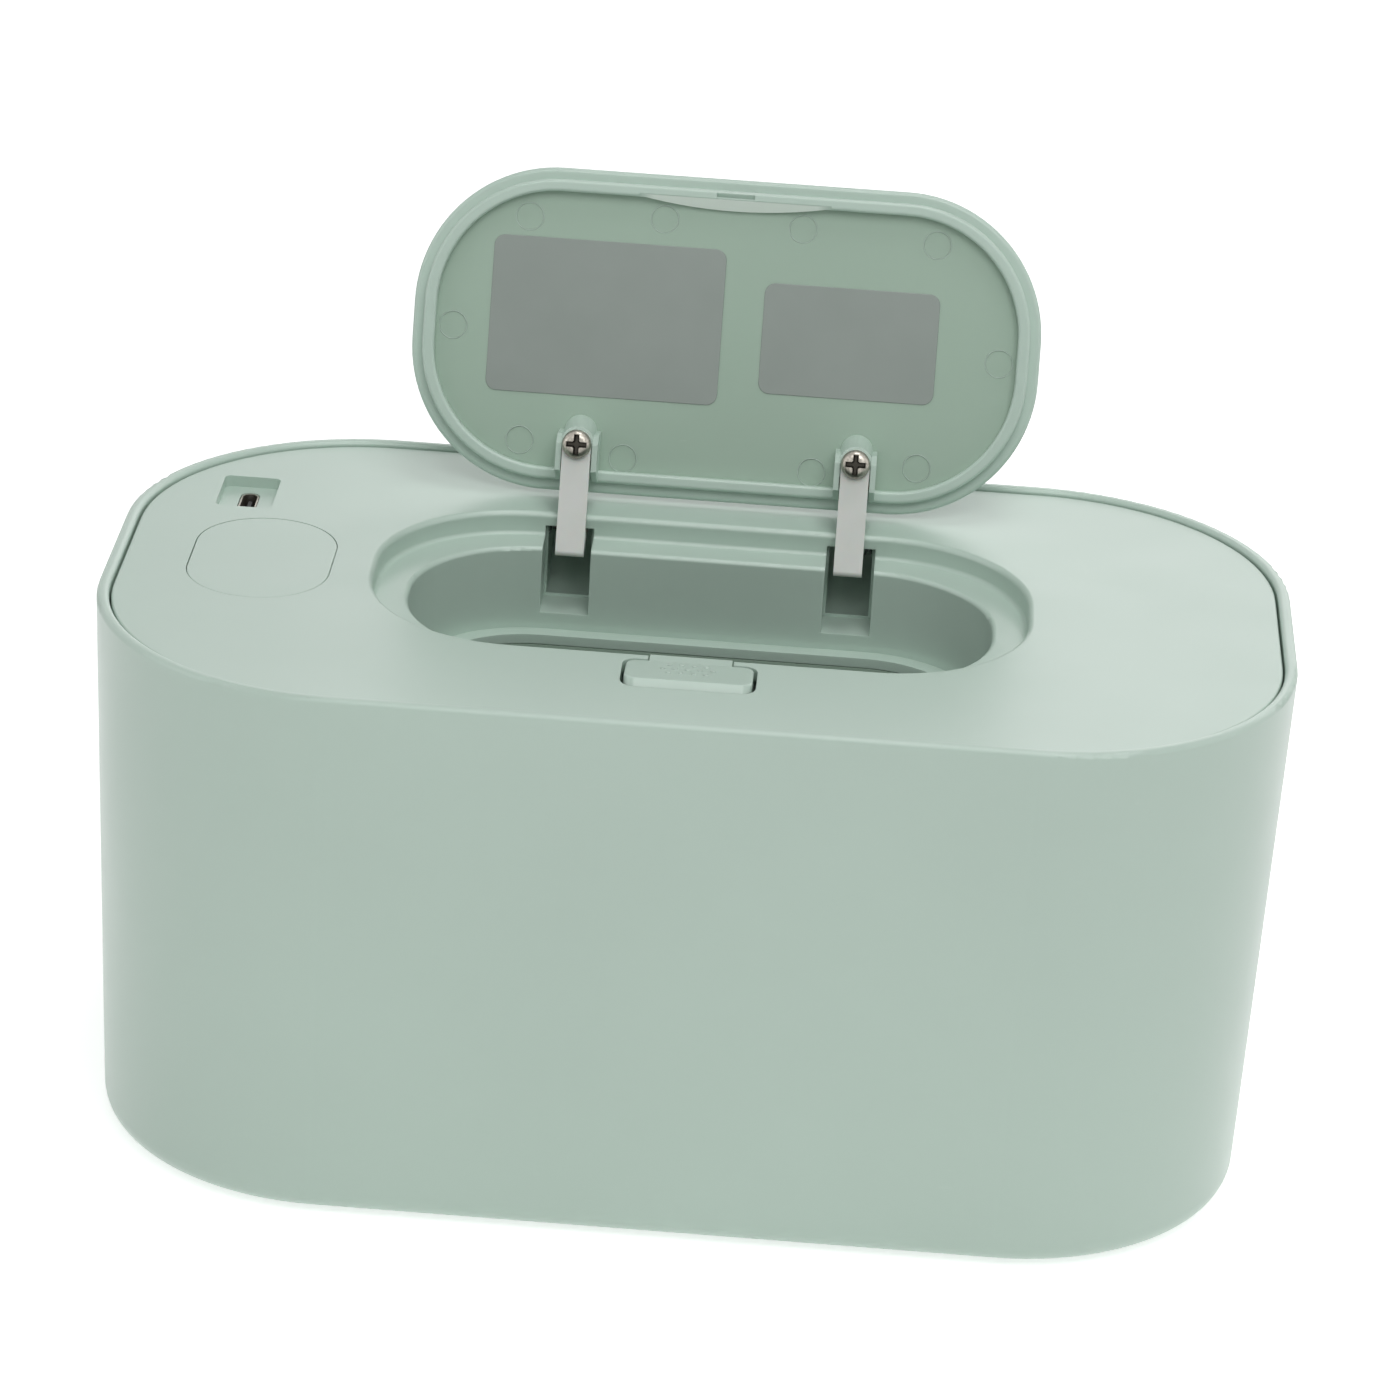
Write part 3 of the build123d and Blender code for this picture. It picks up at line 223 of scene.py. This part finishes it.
def makeMouldedAbs(name, finish, panelFinishAndShade=None):
    material, tree, shader, place = startMaterial(name, {
        "IOR": 1.54, "Subsurface Weight": absSet["scatter"], "Subsurface Radius": (1.0, 1.0, 1.0),
        "Subsurface Scale": absSet["scatterMm"] * mm})
    colour = hexToLinear(finish["colour"])
    gloss = finish["roughness"]
    if panelFinishAndShade:
        inLid = placeInLid(tree, place)
        isPanel = panelMask(tree, inLid)
        # the sunk panel takes the matt finish and a darker tint of painted shade
        colour = addNode(tree, "ShaderNodeMix", {
            "data_type": "RGBA", 0: isPanel, 6: colour, 7: hexToLinear(panelFinishAndShade["colour"])})
        # painted highlight on the finger lip
        colour = addNode(tree, "ShaderNodeMix", {
            "data_type": "RGBA", 0: paintedLipHighlightMask(tree, inLid), 6: colour.outputs[2],
            7: hexToLinear(absSet["paintedLipHighlight"])}).outputs[2]
        gloss = addNode(tree, "ShaderNodeMapRange", {
            "Value": isPanel, "To Min": gloss, "To Max": panelFinishAndShade["roughness"]}).outputs["Result"]
    drift = addNode(tree, "ShaderNodeTexNoise", {
        "Scale": perMetre(absSet["driftMm"]), "Detail": 3.0, "Roughness": 0.45, "Vector": place})
    value = addNode(tree, "ShaderNodeMapRange", {
        "Value": drift.outputs["Fac"],
        "From Min": noiseSpread["gloss"][0], "From Max": noiseSpread["gloss"][1],
        "To Min": absSet["drift"][0], "To Max": absSet["drift"][1]})
    shade = addNode(tree, "ShaderNodeHueSaturation", {"Value": value.outputs["Result"], "Color": colour})

    # pale hairline scuffs, few and faint, lying mostly along the length
    scuffPlace = addNode(tree, "ShaderNodeVectorMath", {
        "operation": "MULTIPLY", 0: place, 1: [perMetre(size) for size in absSet["scuffMm"]]})
    scuffs = addNode(tree, "ShaderNodeTexNoise", {
        "Scale": 1.0, "Detail": 4.0, "Roughness": 0.6, "Vector": scuffPlace.outputs["Vector"]})
    scuffed = addNode(tree, "ShaderNodeMapRange", {
        "Value": scuffs.outputs["Fac"], "From Min": absSet["scuffFrom"][0],
        "From Max": absSet["scuffFrom"][1], "To Max": absSet["scuffs"]})
    worn = addNode(tree, "ShaderNodeMix", {
        "data_type": "RGBA", 0: scuffed.outputs["Result"],
        6: shade.outputs["Color"], 7: hexToLinear(absSet["scuffColour"])})

    # one dark fleck of burnt resin in the front wall
    fleckGap = addNode(tree, "ShaderNodeVectorMath", {
        "operation": "DISTANCE", 0: place, 1: [c * mm for c in absSet["fleckAtMm"]]})
    fleckRadius = absSet["fleckMm"] * mm
    fleck = addNode(tree, "ShaderNodeMapRange", {
        "Value": fleckGap.outputs["Value"], "From Min": fleckRadius / 2, "From Max": fleckRadius,
        "To Min": absSet["fleck"], "To Max": 0.0})
    finished = addNode(tree, "ShaderNodeMix", {
        "data_type": "RGBA", 0: fleck.outputs["Result"],
        6: worn.outputs[2], 7: hexToLinear(absSet["fleckColour"])})
    tree.links.new(finished.outputs[2], shader.inputs["Base Color"])

    # handling smears change the gloss a little and the colour not at all
    smearPlace = addNode(tree, "ShaderNodeVectorMath", {
        "operation": "MULTIPLY", 0: place, 1: [perMetre(size) for size in absSet["smearMm"]]})
    smears = addNode(tree, "ShaderNodeTexNoise", {
        "Scale": 1.0, "Detail": 4.0, "Distortion": 0.4, "Vector": smearPlace.outputs["Vector"]})
    smeared = addNode(tree, "ShaderNodeMapRange", {
        "Value": smears.outputs["Fac"],
        "From Min": noiseSpread["gloss"][0], "From Max": noiseSpread["gloss"][1],
        "To Min": absSet["smear"][0], "To Max": absSet["smear"][1]})
    roughness = addNode(tree, "ShaderNodeMath", {
        "operation": "ADD", 0: smeared.outputs["Result"], 1: gloss})
    tree.links.new(roughness.outputs[0], shader.inputs["Roughness"])

    wave = addNode(tree, "ShaderNodeTexNoise", {
        "Scale": perMetre(absSet["wave"]["sizeMm"]), "Detail": 1.0, "Vector": place})
    waveBump = addNode(tree, "ShaderNodeBump", {
        "Strength": absSet["wave"]["strength"], "Distance": absSet["wave"]["reliefMm"] * mm,
        "Height": wave.outputs["Fac"]})
    grain = addNode(tree, "ShaderNodeTexNoise", {
        "Scale": perMetre(absSet["grain"]["sizeMm"]), "Detail": 2.0, "Vector": place})
    grainBump = addNode(tree, "ShaderNodeBump", {
        "Strength": absSet["grain"]["strength"], "Distance": absSet["grain"]["reliefMm"] * mm,
        "Height": grain.outputs["Fac"], "Normal": waveBump.outputs["Normal"]})
    tree.links.new(grainBump.outputs["Normal"], shader.inputs["Normal"])
    return material


polishedAbs = makeMouldedAbs("mintAbsPolishedMould", absSet["polished"])
lidAbs = makeMouldedAbs("mintAbsLidMould", absSet["polished"], absSet["sparkedAndShaded"])
dress(polishedAbs, "outer_shell", "deck", "release_button", "touch_panel")
dress(lidAbs, "lid_panel")
dress(makeMouldedAbs("mintAbsSparkedMouldShaded", absSet["sparkedAndShaded"]), "cover_base")
print("mint ABS on the tub, the cover and the lid")

# acetal, injection moulded: waxy, nearly white, with clouds that are only just there

acetalSet = {
    "colour": "E3E5E1", "second": "DDE0DB", "cloudMm": 9.0, "roughness": (0.36, 0.46), "relief": (0.05, 0.1)}


def makeAcetal(look):
    material, tree, shader, place = startMaterial("acetalMouldedPale", {
        "IOR": 1.48, "Subsurface Weight": 0.12, "Subsurface Scale": 1.0 * mm})
    clouds = addNode(tree, "ShaderNodeTexNoise", {
        "Scale": perMetre(look["cloudMm"]), "Detail": 3.0, "Vector": place})
    layPattern(tree, shader, clouds.outputs["Fac"], clouds.outputs["Fac"], look)
    return material


dress(makeAcetal(acetalSet), "hinge_arm_left", "hinge_arm_right")
print("acetal on the hinge arms")

# metals: plating, drawing and rolling all leave fine marks that stretch the highlights

metalSet = {
    "nickelPlatedSteelTurned": {
        "colour": "B4AFA6", "second": "8F8B82", "recess": "35332E", "markMm": (0.5, 0.5, 0.5),
        "roughness": (0.28, 0.4), "relief": (0.05, 0.05)},
    "springSteelDrawnWire": {
        "colour": "8F9393", "second": "6E7272", "markMm": (2.5, 0.3, 0.3), "roughness": (0.22, 0.42),
        "relief": (0.08, 0.05)},
    "aluminiumSheetRolled": {
        "colour": "C9CBCC", "second": "B2B5B7", "markMm": (60.0, 0.8, 0.8), "roughness": (0.26, 0.46),
        "relief": (0.06, 0.05)},
}


def recessMask(tree, inLid):
    # 1 down in the cross recess of the two arm screws, where shade is painted
    parts = addNode(tree, "ShaderNodeSeparateXYZ", {"Vector": inLid})
    across = addNode(tree, "ShaderNodeMath", {"operation": "ABSOLUTE", 0: parts.outputs["X"]})
    sameSide = addNode(tree, "ShaderNodeCombineXYZ", {
        "X": across.outputs[0], "Y": parts.outputs["Y"], "Z": parts.outputs["Z"]})
    away = addNode(tree, "ShaderNodeVectorMath", {
        "operation": "SUBTRACT", 0: sameSide.outputs["Vector"], 1: lidSet["screwCrossMm"]["centre"]})
    folded = addNode(tree, "ShaderNodeVectorMath", {"operation": "ABSOLUTE", 0: away.outputs["Vector"]})
    bars = []
    for halfSize in lidSet["screwCrossMm"]["barHalfSizes"]:
        share = addNode(tree, "ShaderNodeVectorMath", {
            "operation": "DIVIDE", 0: folded.outputs["Vector"], 1: halfSize})
        sides = addNode(tree, "ShaderNodeSeparateXYZ", {"Vector": share.outputs["Vector"]})
        most = addNode(tree, "ShaderNodeMath", {
            "operation": "MAXIMUM", 0: sides.outputs["X"], 1: sides.outputs["Y"]})
        bars.append(addNode(tree, "ShaderNodeMath", {
            "operation": "MAXIMUM", 0: most.outputs[0], 1: sides.outputs["Z"]}).outputs[0])
    least = addNode(tree, "ShaderNodeMath", {"operation": "MINIMUM", 0: bars[0], 1: bars[1]})
    fadeStart, fadeEnd = lidSet["maskFade"]["screwCross"]
    return addNode(tree, "ShaderNodeMapRange", {
        "Value": least.outputs[0], "From Min": fadeStart, "From Max": fadeEnd,
        "To Min": lidSet["crossShade"], "To Max": 0.0}).outputs["Result"]


def makeMetal(name, look, recessed=False):
    material, tree, shader, place = startMaterial(name, {"Metallic": 1.0})
    stretched = addNode(tree, "ShaderNodeVectorMath", {
        "operation": "MULTIPLY", 0: place, 1: [perMetre(size) for size in look["markMm"]]})
    marks = addNode(tree, "ShaderNodeTexNoise", {
        "Scale": 1.0, "Detail": 4.0, "Roughness": 0.65, "Vector": stretched.outputs["Vector"]})
    layPattern(tree, shader, marks.outputs["Fac"], marks.outputs["Fac"], look)
    # painted shade down in the cross recess of the screw heads
    if recessed:
        clean = shader.inputs["Base Color"].links[0].from_socket
        crossShaded = addNode(tree, "ShaderNodeMix", {
            "data_type": "RGBA", 0: recessMask(tree, placeInLid(tree, place)), 6: clean,
            7: hexToLinear(look["recess"])})
        tree.links.new(crossShaded.outputs[2], shader.inputs["Base Color"])
    return material


metals = {name: makeMetal(name, look) for name, look in metalSet.items()}
dress(
    metals["nickelPlatedSteelTurned"], "cover_screws", "board_screws",
    "hinge_pin_left", "hinge_pin_right", "button_pin", "usb_socket_shell")
dress(
    makeMetal("nickelPlatedSteelScrew", metalSet["nickelPlatedSteelTurned"], recessed=True), "arm_screws")
dress(
    metals["springSteelDrawnWire"],
    "torsion_spring_left", "torsion_spring_right", "button_spring", "touch_spring")
dress(metals["aluminiumSheetRolled"], "heater_plate")
print("screws, pins, springs and heater plate in metal")

# plain mouldings and rubbers: a spark-eroded mould leaves an even grain, and rubber looks dusty

mouldedSet = {
    "blackPbtSparkedMould": {
        "colour": "1D1E20", "second": "2A2C2E", "patchMm": 6.0, "grainMm": 0.25,
        "roughness": (0.44, 0.58), "relief": (0.2, 0.05), "ior": 1.57},
    "siliconeRubberMoulded": {
        "colour": "C3C9C5", "second": "B0B7B2", "patchMm": 5.0, "grainMm": 0.4,
        "roughness": (0.56, 0.7), "relief": (0.15, 0.05), "ior": 1.41},
    "siliconeSleeveExtruded": {
        "colour": "A8332B", "second": "8E2A24", "patchMm": 12.0, "grainMm": 0.5,
        "roughness": (0.49, 0.63), "relief": (0.1, 0.05), "ior": 1.41},
    "pvcSleeveExtruded": {
        "colour": "DFDFDA", "second": "C9CAC5", "patchMm": 12.0, "grainMm": 0.5,
        "roughness": (0.34, 0.48), "relief": (0.1, 0.05), "ior": 1.54},
}


def makeMoulding(name, look):
    material, tree, shader, place = startMaterial(name, {"IOR": look["ior"]})
    patches = addNode(tree, "ShaderNodeTexNoise", {
        "Scale": perMetre(look["patchMm"]), "Detail": 4.0, "Vector": place})
    grain = addNode(tree, "ShaderNodeTexVoronoi", {
        "feature": "SMOOTH_F1", "Scale": perMetre(look["grainMm"]), "Vector": place})
    layPattern(tree, shader, patches.outputs["Fac"], grain.outputs["Distance"], look)
    return material


mouldings = {name: makeMoulding(name, look) for name, look in mouldedSet.items()}
dress(
    mouldings["blackPbtSparkedMould"], "board_components", "usb_socket_tongue", "light_shroud",
    "thermal_cutout", "thermistor")
dress(mouldings["siliconeRubberMoulded"], "foot_pads")
dress(mouldings["siliconeSleeveExtruded"], "heater_leads")
dress(mouldings["pvcSleeveExtruded"], "sensor_leads")
print("black mouldings, feet and wire sleeves")

# polyimide film, cast and etched: clear amber with a dull metal track in rows inside

filmSet = {
    "colour": "A8601A", "second": "7C6A4C", "trackPitchMm": 5.0, "roughness": (0.16, 0.3),
    "relief": (0.25, 0.05)}


def makePolyimide(look):
    material, tree, shader, place = startMaterial("polyimideFilmEtched", {"IOR": 1.7, "Coat Weight": 0.4})
    # a band texture repeats every tau / 20 of its own length
    rows = addNode(tree, "ShaderNodeTexWave", {
        "wave_type": "BANDS", "bands_direction": "Y", "Distortion": 0.0,
        "Scale": perMetre(look["trackPitchMm"]) * math.tau / 20, "Vector": place})
    layPattern(tree, shader, rows.outputs["Fac"], rows.outputs["Fac"], look)
    return material


dress(makePolyimide(filmSet), "heater_film")

# polyethylene foam, closed cell, skived into sheet: charcoal, matt, with cut cells showing as pits

foamSet = {
    "colour": "2B2D2E", "second": "46494A", "cellMm": 0.9, "roughness": (0.85, 0.98), "relief": (0.7, 0.3)}


def makeFoam(look):
    material, tree, shader, place = startMaterial("polyethyleneFoamSkived", {"IOR": 1.5})
    cells = addNode(tree, "ShaderNodeTexVoronoi", {"Scale": perMetre(look["cellMm"]), "Vector": place})
    layPattern(tree, shader, cells.outputs["Distance"], cells.outputs["Distance"], look)
    return material


dress(makeFoam(foamSet), "heater_pad")

# glass-epoxy board under printed solder mask: bottle green, glossy, its tracks paler than the gaps

boardSet = {
    "colour": "1F5A3C", "second": "2F7A52", "trackMm": 1.6, "roughness": (0.25, 0.42), "relief": (0.3, 0.05)}


def makeBoard(look):
    material, tree, shader, place = startMaterial("glassEpoxyBoardMasked", {"IOR": 1.52, "Coat Weight": 0.5})
    # a row of a brick texture is a quarter of its own length
    runs = addNode(tree, "ShaderNodeTexBrick", {
        "Scale": perMetre(look["trackMm"]) / 4, "Mortar Size": 0.03, "Mortar Smooth": 0.1, "Vector": place})
    layPattern(tree, shader, runs.outputs["Fac"], runs.outputs["Fac"], look)
    return material


dress(makeBoard(boardSet), "control_board")

# epoxy lamp resin, cast with a diffuser: milky and glossy

lampResinSet = {
    "colour": "E4E8DF", "second": "CDD6B8", "cloudMm": 1.5, "roughness": (0.15, 0.3), "relief": (0.05, 0.05)}


def makeLampResin(look):
    material, tree, shader, place = startMaterial("epoxyLampResinCast", {
        "IOR": 1.53, "Subsurface Weight": 0.5, "Subsurface Scale": 0.8 * mm, "Transmission Weight": 0.15})
    clouds = addNode(tree, "ShaderNodeTexNoise", {
        "Scale": perMetre(look["cloudMm"]), "Detail": 3.0, "Vector": place})
    layPattern(tree, shader, clouds.outputs["Fac"], clouds.outputs["Fac"], look)
    return material


dress(makeLampResin(lampResinSet), "indicator_leds")
print("film, foam, board and lamps")

# silver polyester, metallised and left blank: an even satin, a little darker than bare metal

filmLabelSet = {
    "colour": "7E8681", "second": "7A827D", "cloudMm": 14.0, "grainMm": 0.6, "roughness": (0.34, 0.4),
    "relief": (0.06, 0.05)}


def makeSilverPolyester(look):
    material, tree, shader, place = startMaterial("polyesterFilmMetallised", {
        "Metallic": 0.75, "Coat Weight": 0.15, "Coat Roughness": 0.3})
    clouds = addNode(tree, "ShaderNodeTexNoise", {
        "Scale": perMetre(look["cloudMm"]), "Detail": 2.0, "Vector": place})
    grain = addNode(tree, "ShaderNodeTexNoise", {
        "Scale": perMetre(look["grainMm"]), "Detail": 3.0, "Vector": place})
    layPattern(tree, shader, clouds.outputs["Fac"], grain.outputs["Fac"], look)
    return material


silverPolyester = makeSilverPolyester(filmLabelSet)

# the two blank plates inside the lid

plateSet = {
    "lidPlateLeft": {"centreMm": (-22.25, 31.9), "sizeMm": (42.7, 28.6)},
    "lidPlateRight": {"centreMm": (22.6, 30.65), "sizeMm": (32.2, 20.3)},
    "cornerMm": 2.0,
    "thickMm": 0.12,
    "rollMm": 0.06,  # how far the cut edge rolls over
    "rollEase": 0.3,  # share of the roll at its half-way ring
    "flatFromMm": 1.0,  # inset of the ring round the flat middle
    "arcSteps": 8,
}


def roundedOutline(size, corner, steps):
    points = []
    halfX, halfY = size[0] / 2 - corner, size[1] / 2 - corner
    for quarter, (x, y) in enumerate(((halfX, halfY), (-halfX, halfY), (-halfX, -halfY), (halfX, -halfY))):
        for step in range(steps + 1):
            angle = math.pi / 2 * (quarter + step / steps)
            points.append((x + corner * math.cos(angle), y + corner * math.sin(angle)))
    return points


def meshPiece(name, mesh, material, body, matrix=None):
    data = bpy.data.meshes.new(name)
    if matrix:
        bmesh.ops.transform(mesh, matrix=matrix, verts=mesh.verts)
    bmesh.ops.recalc_face_normals(mesh, faces=mesh.faces)
    mesh.to_mesh(data)
    mesh.free()
    data.materials.append(material)
    piece = bpy.data.objects.new(name, data)
    bpy.context.scene.collection.objects.link(piece)
    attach(piece, body)
    return piece


def makePlate(name, plate):
    mesh = bmesh.new()
    thick, roll, corner = plateSet["thickMm"], plateSet["rollMm"], plateSet["cornerMm"]
    width, height = plate["sizeMm"]
    # rings from the cut edge up over its roll and in to a flat middle
    rings = []
    ease = roll * plateSet["rollEase"]
    steps = (
        (0.0, 0.0), (0.0, thick - roll), (ease, thick - ease), (roll, thick),
        (plateSet["flatFromMm"], thick))
    for inset, level in steps:
        size = (width - 2 * inset, height - 2 * inset)
        outline = roundedOutline(size, corner - inset, plateSet["arcSteps"])
        rings.append([
            mesh.verts.new((x + plate["centreMm"][0], y + plate["centreMm"][1], level)) for x, y in outline])
    for lower, upper in zip(rings, rings[1:]):
        for k in range(len(lower)):
            following = (k + 1) % len(lower)
            mesh.faces.new((lower[k], lower[following], upper[following], upper[k]))
    mesh.faces.new(rings[-1])
    mesh.faces.new(list(reversed(rings[0])))
    meshPiece(
        name, mesh, silverPolyester, "lid",
        lidMatrix(lidSet["edgeReachMm"], lidSet["innerFaceMm"]))


makePlate("lidPlateLeft", plateSet["lidPlateLeft"])
makePlate("lidPlateRight", plateSet["lidPlateRight"])
print("blank plates inside the lid")

# witness rings that the ejector pins leave round their marks on the panel

ringSet = {
    # X and reach of each mark, repeated on both sides
    "marksMm": ((37.4, 49.8), (12.7, 51.0), (50.2, 29.0), (36.6, 8.8), (17.4, 6.7)),
    "radiusMm": 2.52,
    "wideMm": 0.2,
    "riseMm": 0.06,
    "sides": 48,
}


def makeWitnessRings(rings):
    mesh = bmesh.new()
    # a low half-round section swept round each mark
    section = [
        (rings["wideMm"] / 2 * math.cos(math.pi * k / 4), rings["riseMm"] * math.sin(math.pi * k / 4))
        for k in range(5)]
    for x, reach in rings["marksMm"]:
        for side in (-1, 1):
            loops = []
            for offset, rise in section:
                radius = rings["radiusMm"] + offset
                loops.append([
                    mesh.verts.new((
                        side * x + radius * math.cos(math.tau * k / rings["sides"]),
                        reach + radius * math.sin(math.tau * k / rings["sides"]), rise))
                    for k in range(rings["sides"])])
            for first, second in zip(loops, loops[1:] + loops[:1]):
                for k in range(rings["sides"]):
                    following = (k + 1) % rings["sides"]
                    face = mesh.faces.new((first[k], first[following], second[following], second[k]))
                    face.smooth = True
    meshPiece(
        "ejectorWitnessRings", mesh, polishedAbs, "lid",
        lidMatrix(lidSet["edgeReachMm"], lidSet["innerFaceMm"]))


makeWitnessRings(ringSet)
print("ejector witness rings inside the lid")

# raised grip dots on the release button

dotSet = {
    "centreMm": (-0.3, -36.0),
    "pitchMm": (2.15, 2.1),
    "rows": (4, 5, 4),
    "radiusMm": 0.5,
    "riseMm": 0.22,
    "capFrontMm": (-42.28, 101.5),  # Y and Z of the cap's front top edge
    "capRearMm": (-32.05, 100.4),
    "rings": 5,
    "sides": 20,
}


def makeGripDots(dots):
    mesh = bmesh.new()
    (frontY, frontZ), (rearY, rearZ) = dots["capFrontMm"], dots["capRearMm"]
    slope = (rearZ - frontZ) / (rearY - frontY)
    tilt = Matrix.Rotation(math.atan(slope), 4, "X")
    middle = (len(dots["rows"]) - 1) / 2
    for row, count in enumerate(dots["rows"]):
        y = dots["centreMm"][1] + (row - middle) * dots["pitchMm"][1]
        for column in range(count):
            x = dots["centreMm"][0] + (column - (count - 1) / 2) * dots["pitchMm"][0]
            place = Matrix.Translation((x, y, frontZ + slope * (y - frontY))) @ tilt
            top = mesh.verts.new(place @ Vector((0.0, 0.0, dots["riseMm"])))
            inner = None
            for ring in range(1, dots["rings"] + 1):
                angle = math.pi / 2 * ring / dots["rings"]
                radius = dots["radiusMm"] * math.sin(angle)
                level = dots["riseMm"] / 2 * (1.0 + math.cos(angle) - (ring / dots["rings"]) ** 2)
                circle = [
                    mesh.verts.new(place @ Vector((
                        radius * math.cos(math.tau * k / dots["sides"]),
                        radius * math.sin(math.tau * k / dots["sides"]), level)))
                    for k in range(dots["sides"])]
                for k in range(dots["sides"]):
                    following = (k + 1) % dots["sides"]
                    if inner:
                        mesh.faces.new((inner[k], circle[k], circle[following], inner[following]))
                    else:
                        mesh.faces.new((top, circle[k], circle[following]))
                inner = circle
            mesh.faces.new(list(reversed(inner)))
    for face in mesh.faces:
        face.smooth = len(face.verts) < dots["sides"]
    meshPiece("buttonGripDots", mesh, polishedAbs, "release_button", Matrix.Scale(mm, 4))


makeGripDots(dotSet)
print("grip dots on the release button")

# floor, studio light and surroundings

floorSet = {
    "sizeM": 14.0,
    "colour": "F4F5F4",
    "under": 0.22,  # light through the floor
    "glow": (0.6, 1.0),  # as seen near the object, where its shadow falls, and far from it
    "glowFromM": (0.7, 2.0),
    "dropMm": 0.1,  # clear of the faces of the feet
}
lampSetup = {
    "lampKey": {"atM": (0.2, -0.85, 1.15), "aimM": (0.0, 0.0, 0.08), "sizeM": (1.0, 0.8), "watts": 8.5},
    "lampTop": {"atM": (0.15, 0.05, 1.3), "aimM": (0.0, 0.0, 0.08), "sizeM": (0.5, 0.4), "watts": 3.3},
    "lampRear": {"atM": (0.5, 1.2, 0.65), "aimM": (0.0, 0.0, 0.1), "sizeM": (1.6, 0.8), "watts": 4.6},
    "lampLeft": {"atM": (-1.25, -0.35, 0.6), "aimM": (0.0, 0.0, 0.05), "sizeM": (0.9, 1.0), "watts": 2.6},
    "lampRight": {"atM": (1.25, -0.2, 0.6), "aimM": (0.0, 0.0, 0.05), "sizeM": (0.9, 1.0), "watts": 1.5},
}
roomSet = {"colour": "FFFFFF", "lit": 0.15}  # lit: share of white that lights the object


def whiteRays(tree):
    # camera, mirror and glass rays see the white backdrop
    path = addNode(tree, "ShaderNodeLightPath")
    some = addNode(tree, "ShaderNodeMath", {
        "operation": "MAXIMUM", 0: path.outputs["Is Camera Ray"], 1: path.outputs["Is Glossy Ray"]})
    return addNode(tree, "ShaderNodeMath", {
        "operation": "MAXIMUM", 0: some.outputs[0], 1: path.outputs["Is Transmission Ray"]}).outputs[0]


def makeFloor(floor):
    mesh = bmesh.new()
    bmesh.ops.create_grid(mesh, x_segments=8, y_segments=8, size=floor["sizeM"] / 2)
    data = bpy.data.meshes.new("studioFloor")
    mesh.to_mesh(data)
    mesh.free()
    material = bpy.data.materials.new("paperSweepMatt")
    material.use_nodes = True
    tree = material.node_tree
    tree.nodes.clear()
    paper = addNode(tree, "ShaderNodeBsdfDiffuse", {"Color": hexToLinear(floor["colour"])})
    place = addNode(tree, "ShaderNodeTexCoord")
    gone = addNode(tree, "ShaderNodeVectorMath", {"operation": "LENGTH", 0: place.outputs["Object"]})
    seen = addNode(tree, "ShaderNodeMapRange", {
        "Value": gone.outputs["Value"], "From Min": floor["glowFromM"][0], "From Max": floor["glowFromM"][1],
        "To Min": floor["glow"][0], "To Max": floor["glow"][1]})
    strength = addNode(tree, "ShaderNodeMapRange", {
        "Value": whiteRays(tree), "To Min": floor["under"], "To Max": seen.outputs["Result"]})
    glow = addNode(tree, "ShaderNodeEmission", {"Strength": strength.outputs["Result"]})
    both = addNode(tree, "ShaderNodeAddShader", {0: paper.outputs[0], 1: glow.outputs[0]})
    # seen from below the paper is clear, so that it doesn't hide the object's underside
    face = addNode(tree, "ShaderNodeNewGeometry")
    clear = addNode(tree, "ShaderNodeBsdfTransparent")
    shown = addNode(tree, "ShaderNodeMixShader", {
        0: face.outputs["Backfacing"], 1: both.outputs[0], 2: clear.outputs[0]})
    addNode(tree, "ShaderNodeOutputMaterial", {"Surface": shown.outputs[0]})
    data.materials.append(material)
    ground = bpy.data.objects.new("studioFloor", data)
    ground.location.z = -floor["dropMm"] * mm
    bpy.context.scene.collection.objects.link(ground)


def makeLamp(name, lamp):
    light = bpy.data.lights.new(name, "AREA")
    light.shape = "RECTANGLE"
    light.size, light.size_y = lamp["sizeM"]
    light.energy = lamp["watts"]
    holder = bpy.data.objects.new(name, light)
    holder.location = lamp["atM"]
    aim = Vector(lamp["aimM"]) - Vector(lamp["atM"])
    holder.rotation_euler = aim.to_track_quat("-Z", "Y").to_euler()
    holder.visible_camera = False
    bpy.context.scene.collection.objects.link(holder)


def makeRoom(room):
    world = bpy.data.worlds.new("studioRoom")
    world.use_nodes = True
    tree = world.node_tree
    tree.nodes.clear()
    strength = addNode(tree, "ShaderNodeMapRange", {"Value": whiteRays(tree), "To Min": room["lit"]})
    sky = addNode(tree, "ShaderNodeBackground", {
        "Color": hexToLinear(room["colour"]), "Strength": strength.outputs["Result"]})
    addNode(tree, "ShaderNodeOutputWorld", {"Surface": sky.outputs[0]})
    bpy.context.scene.world = world


bpy.context.scene.view_settings.view_transform = "Standard"
makeFloor(floorSet)
for lampName, lamp in lampSetup.items():
    makeLamp(lampName, lamp)
makeRoom(roomSet)
print("studio lit")
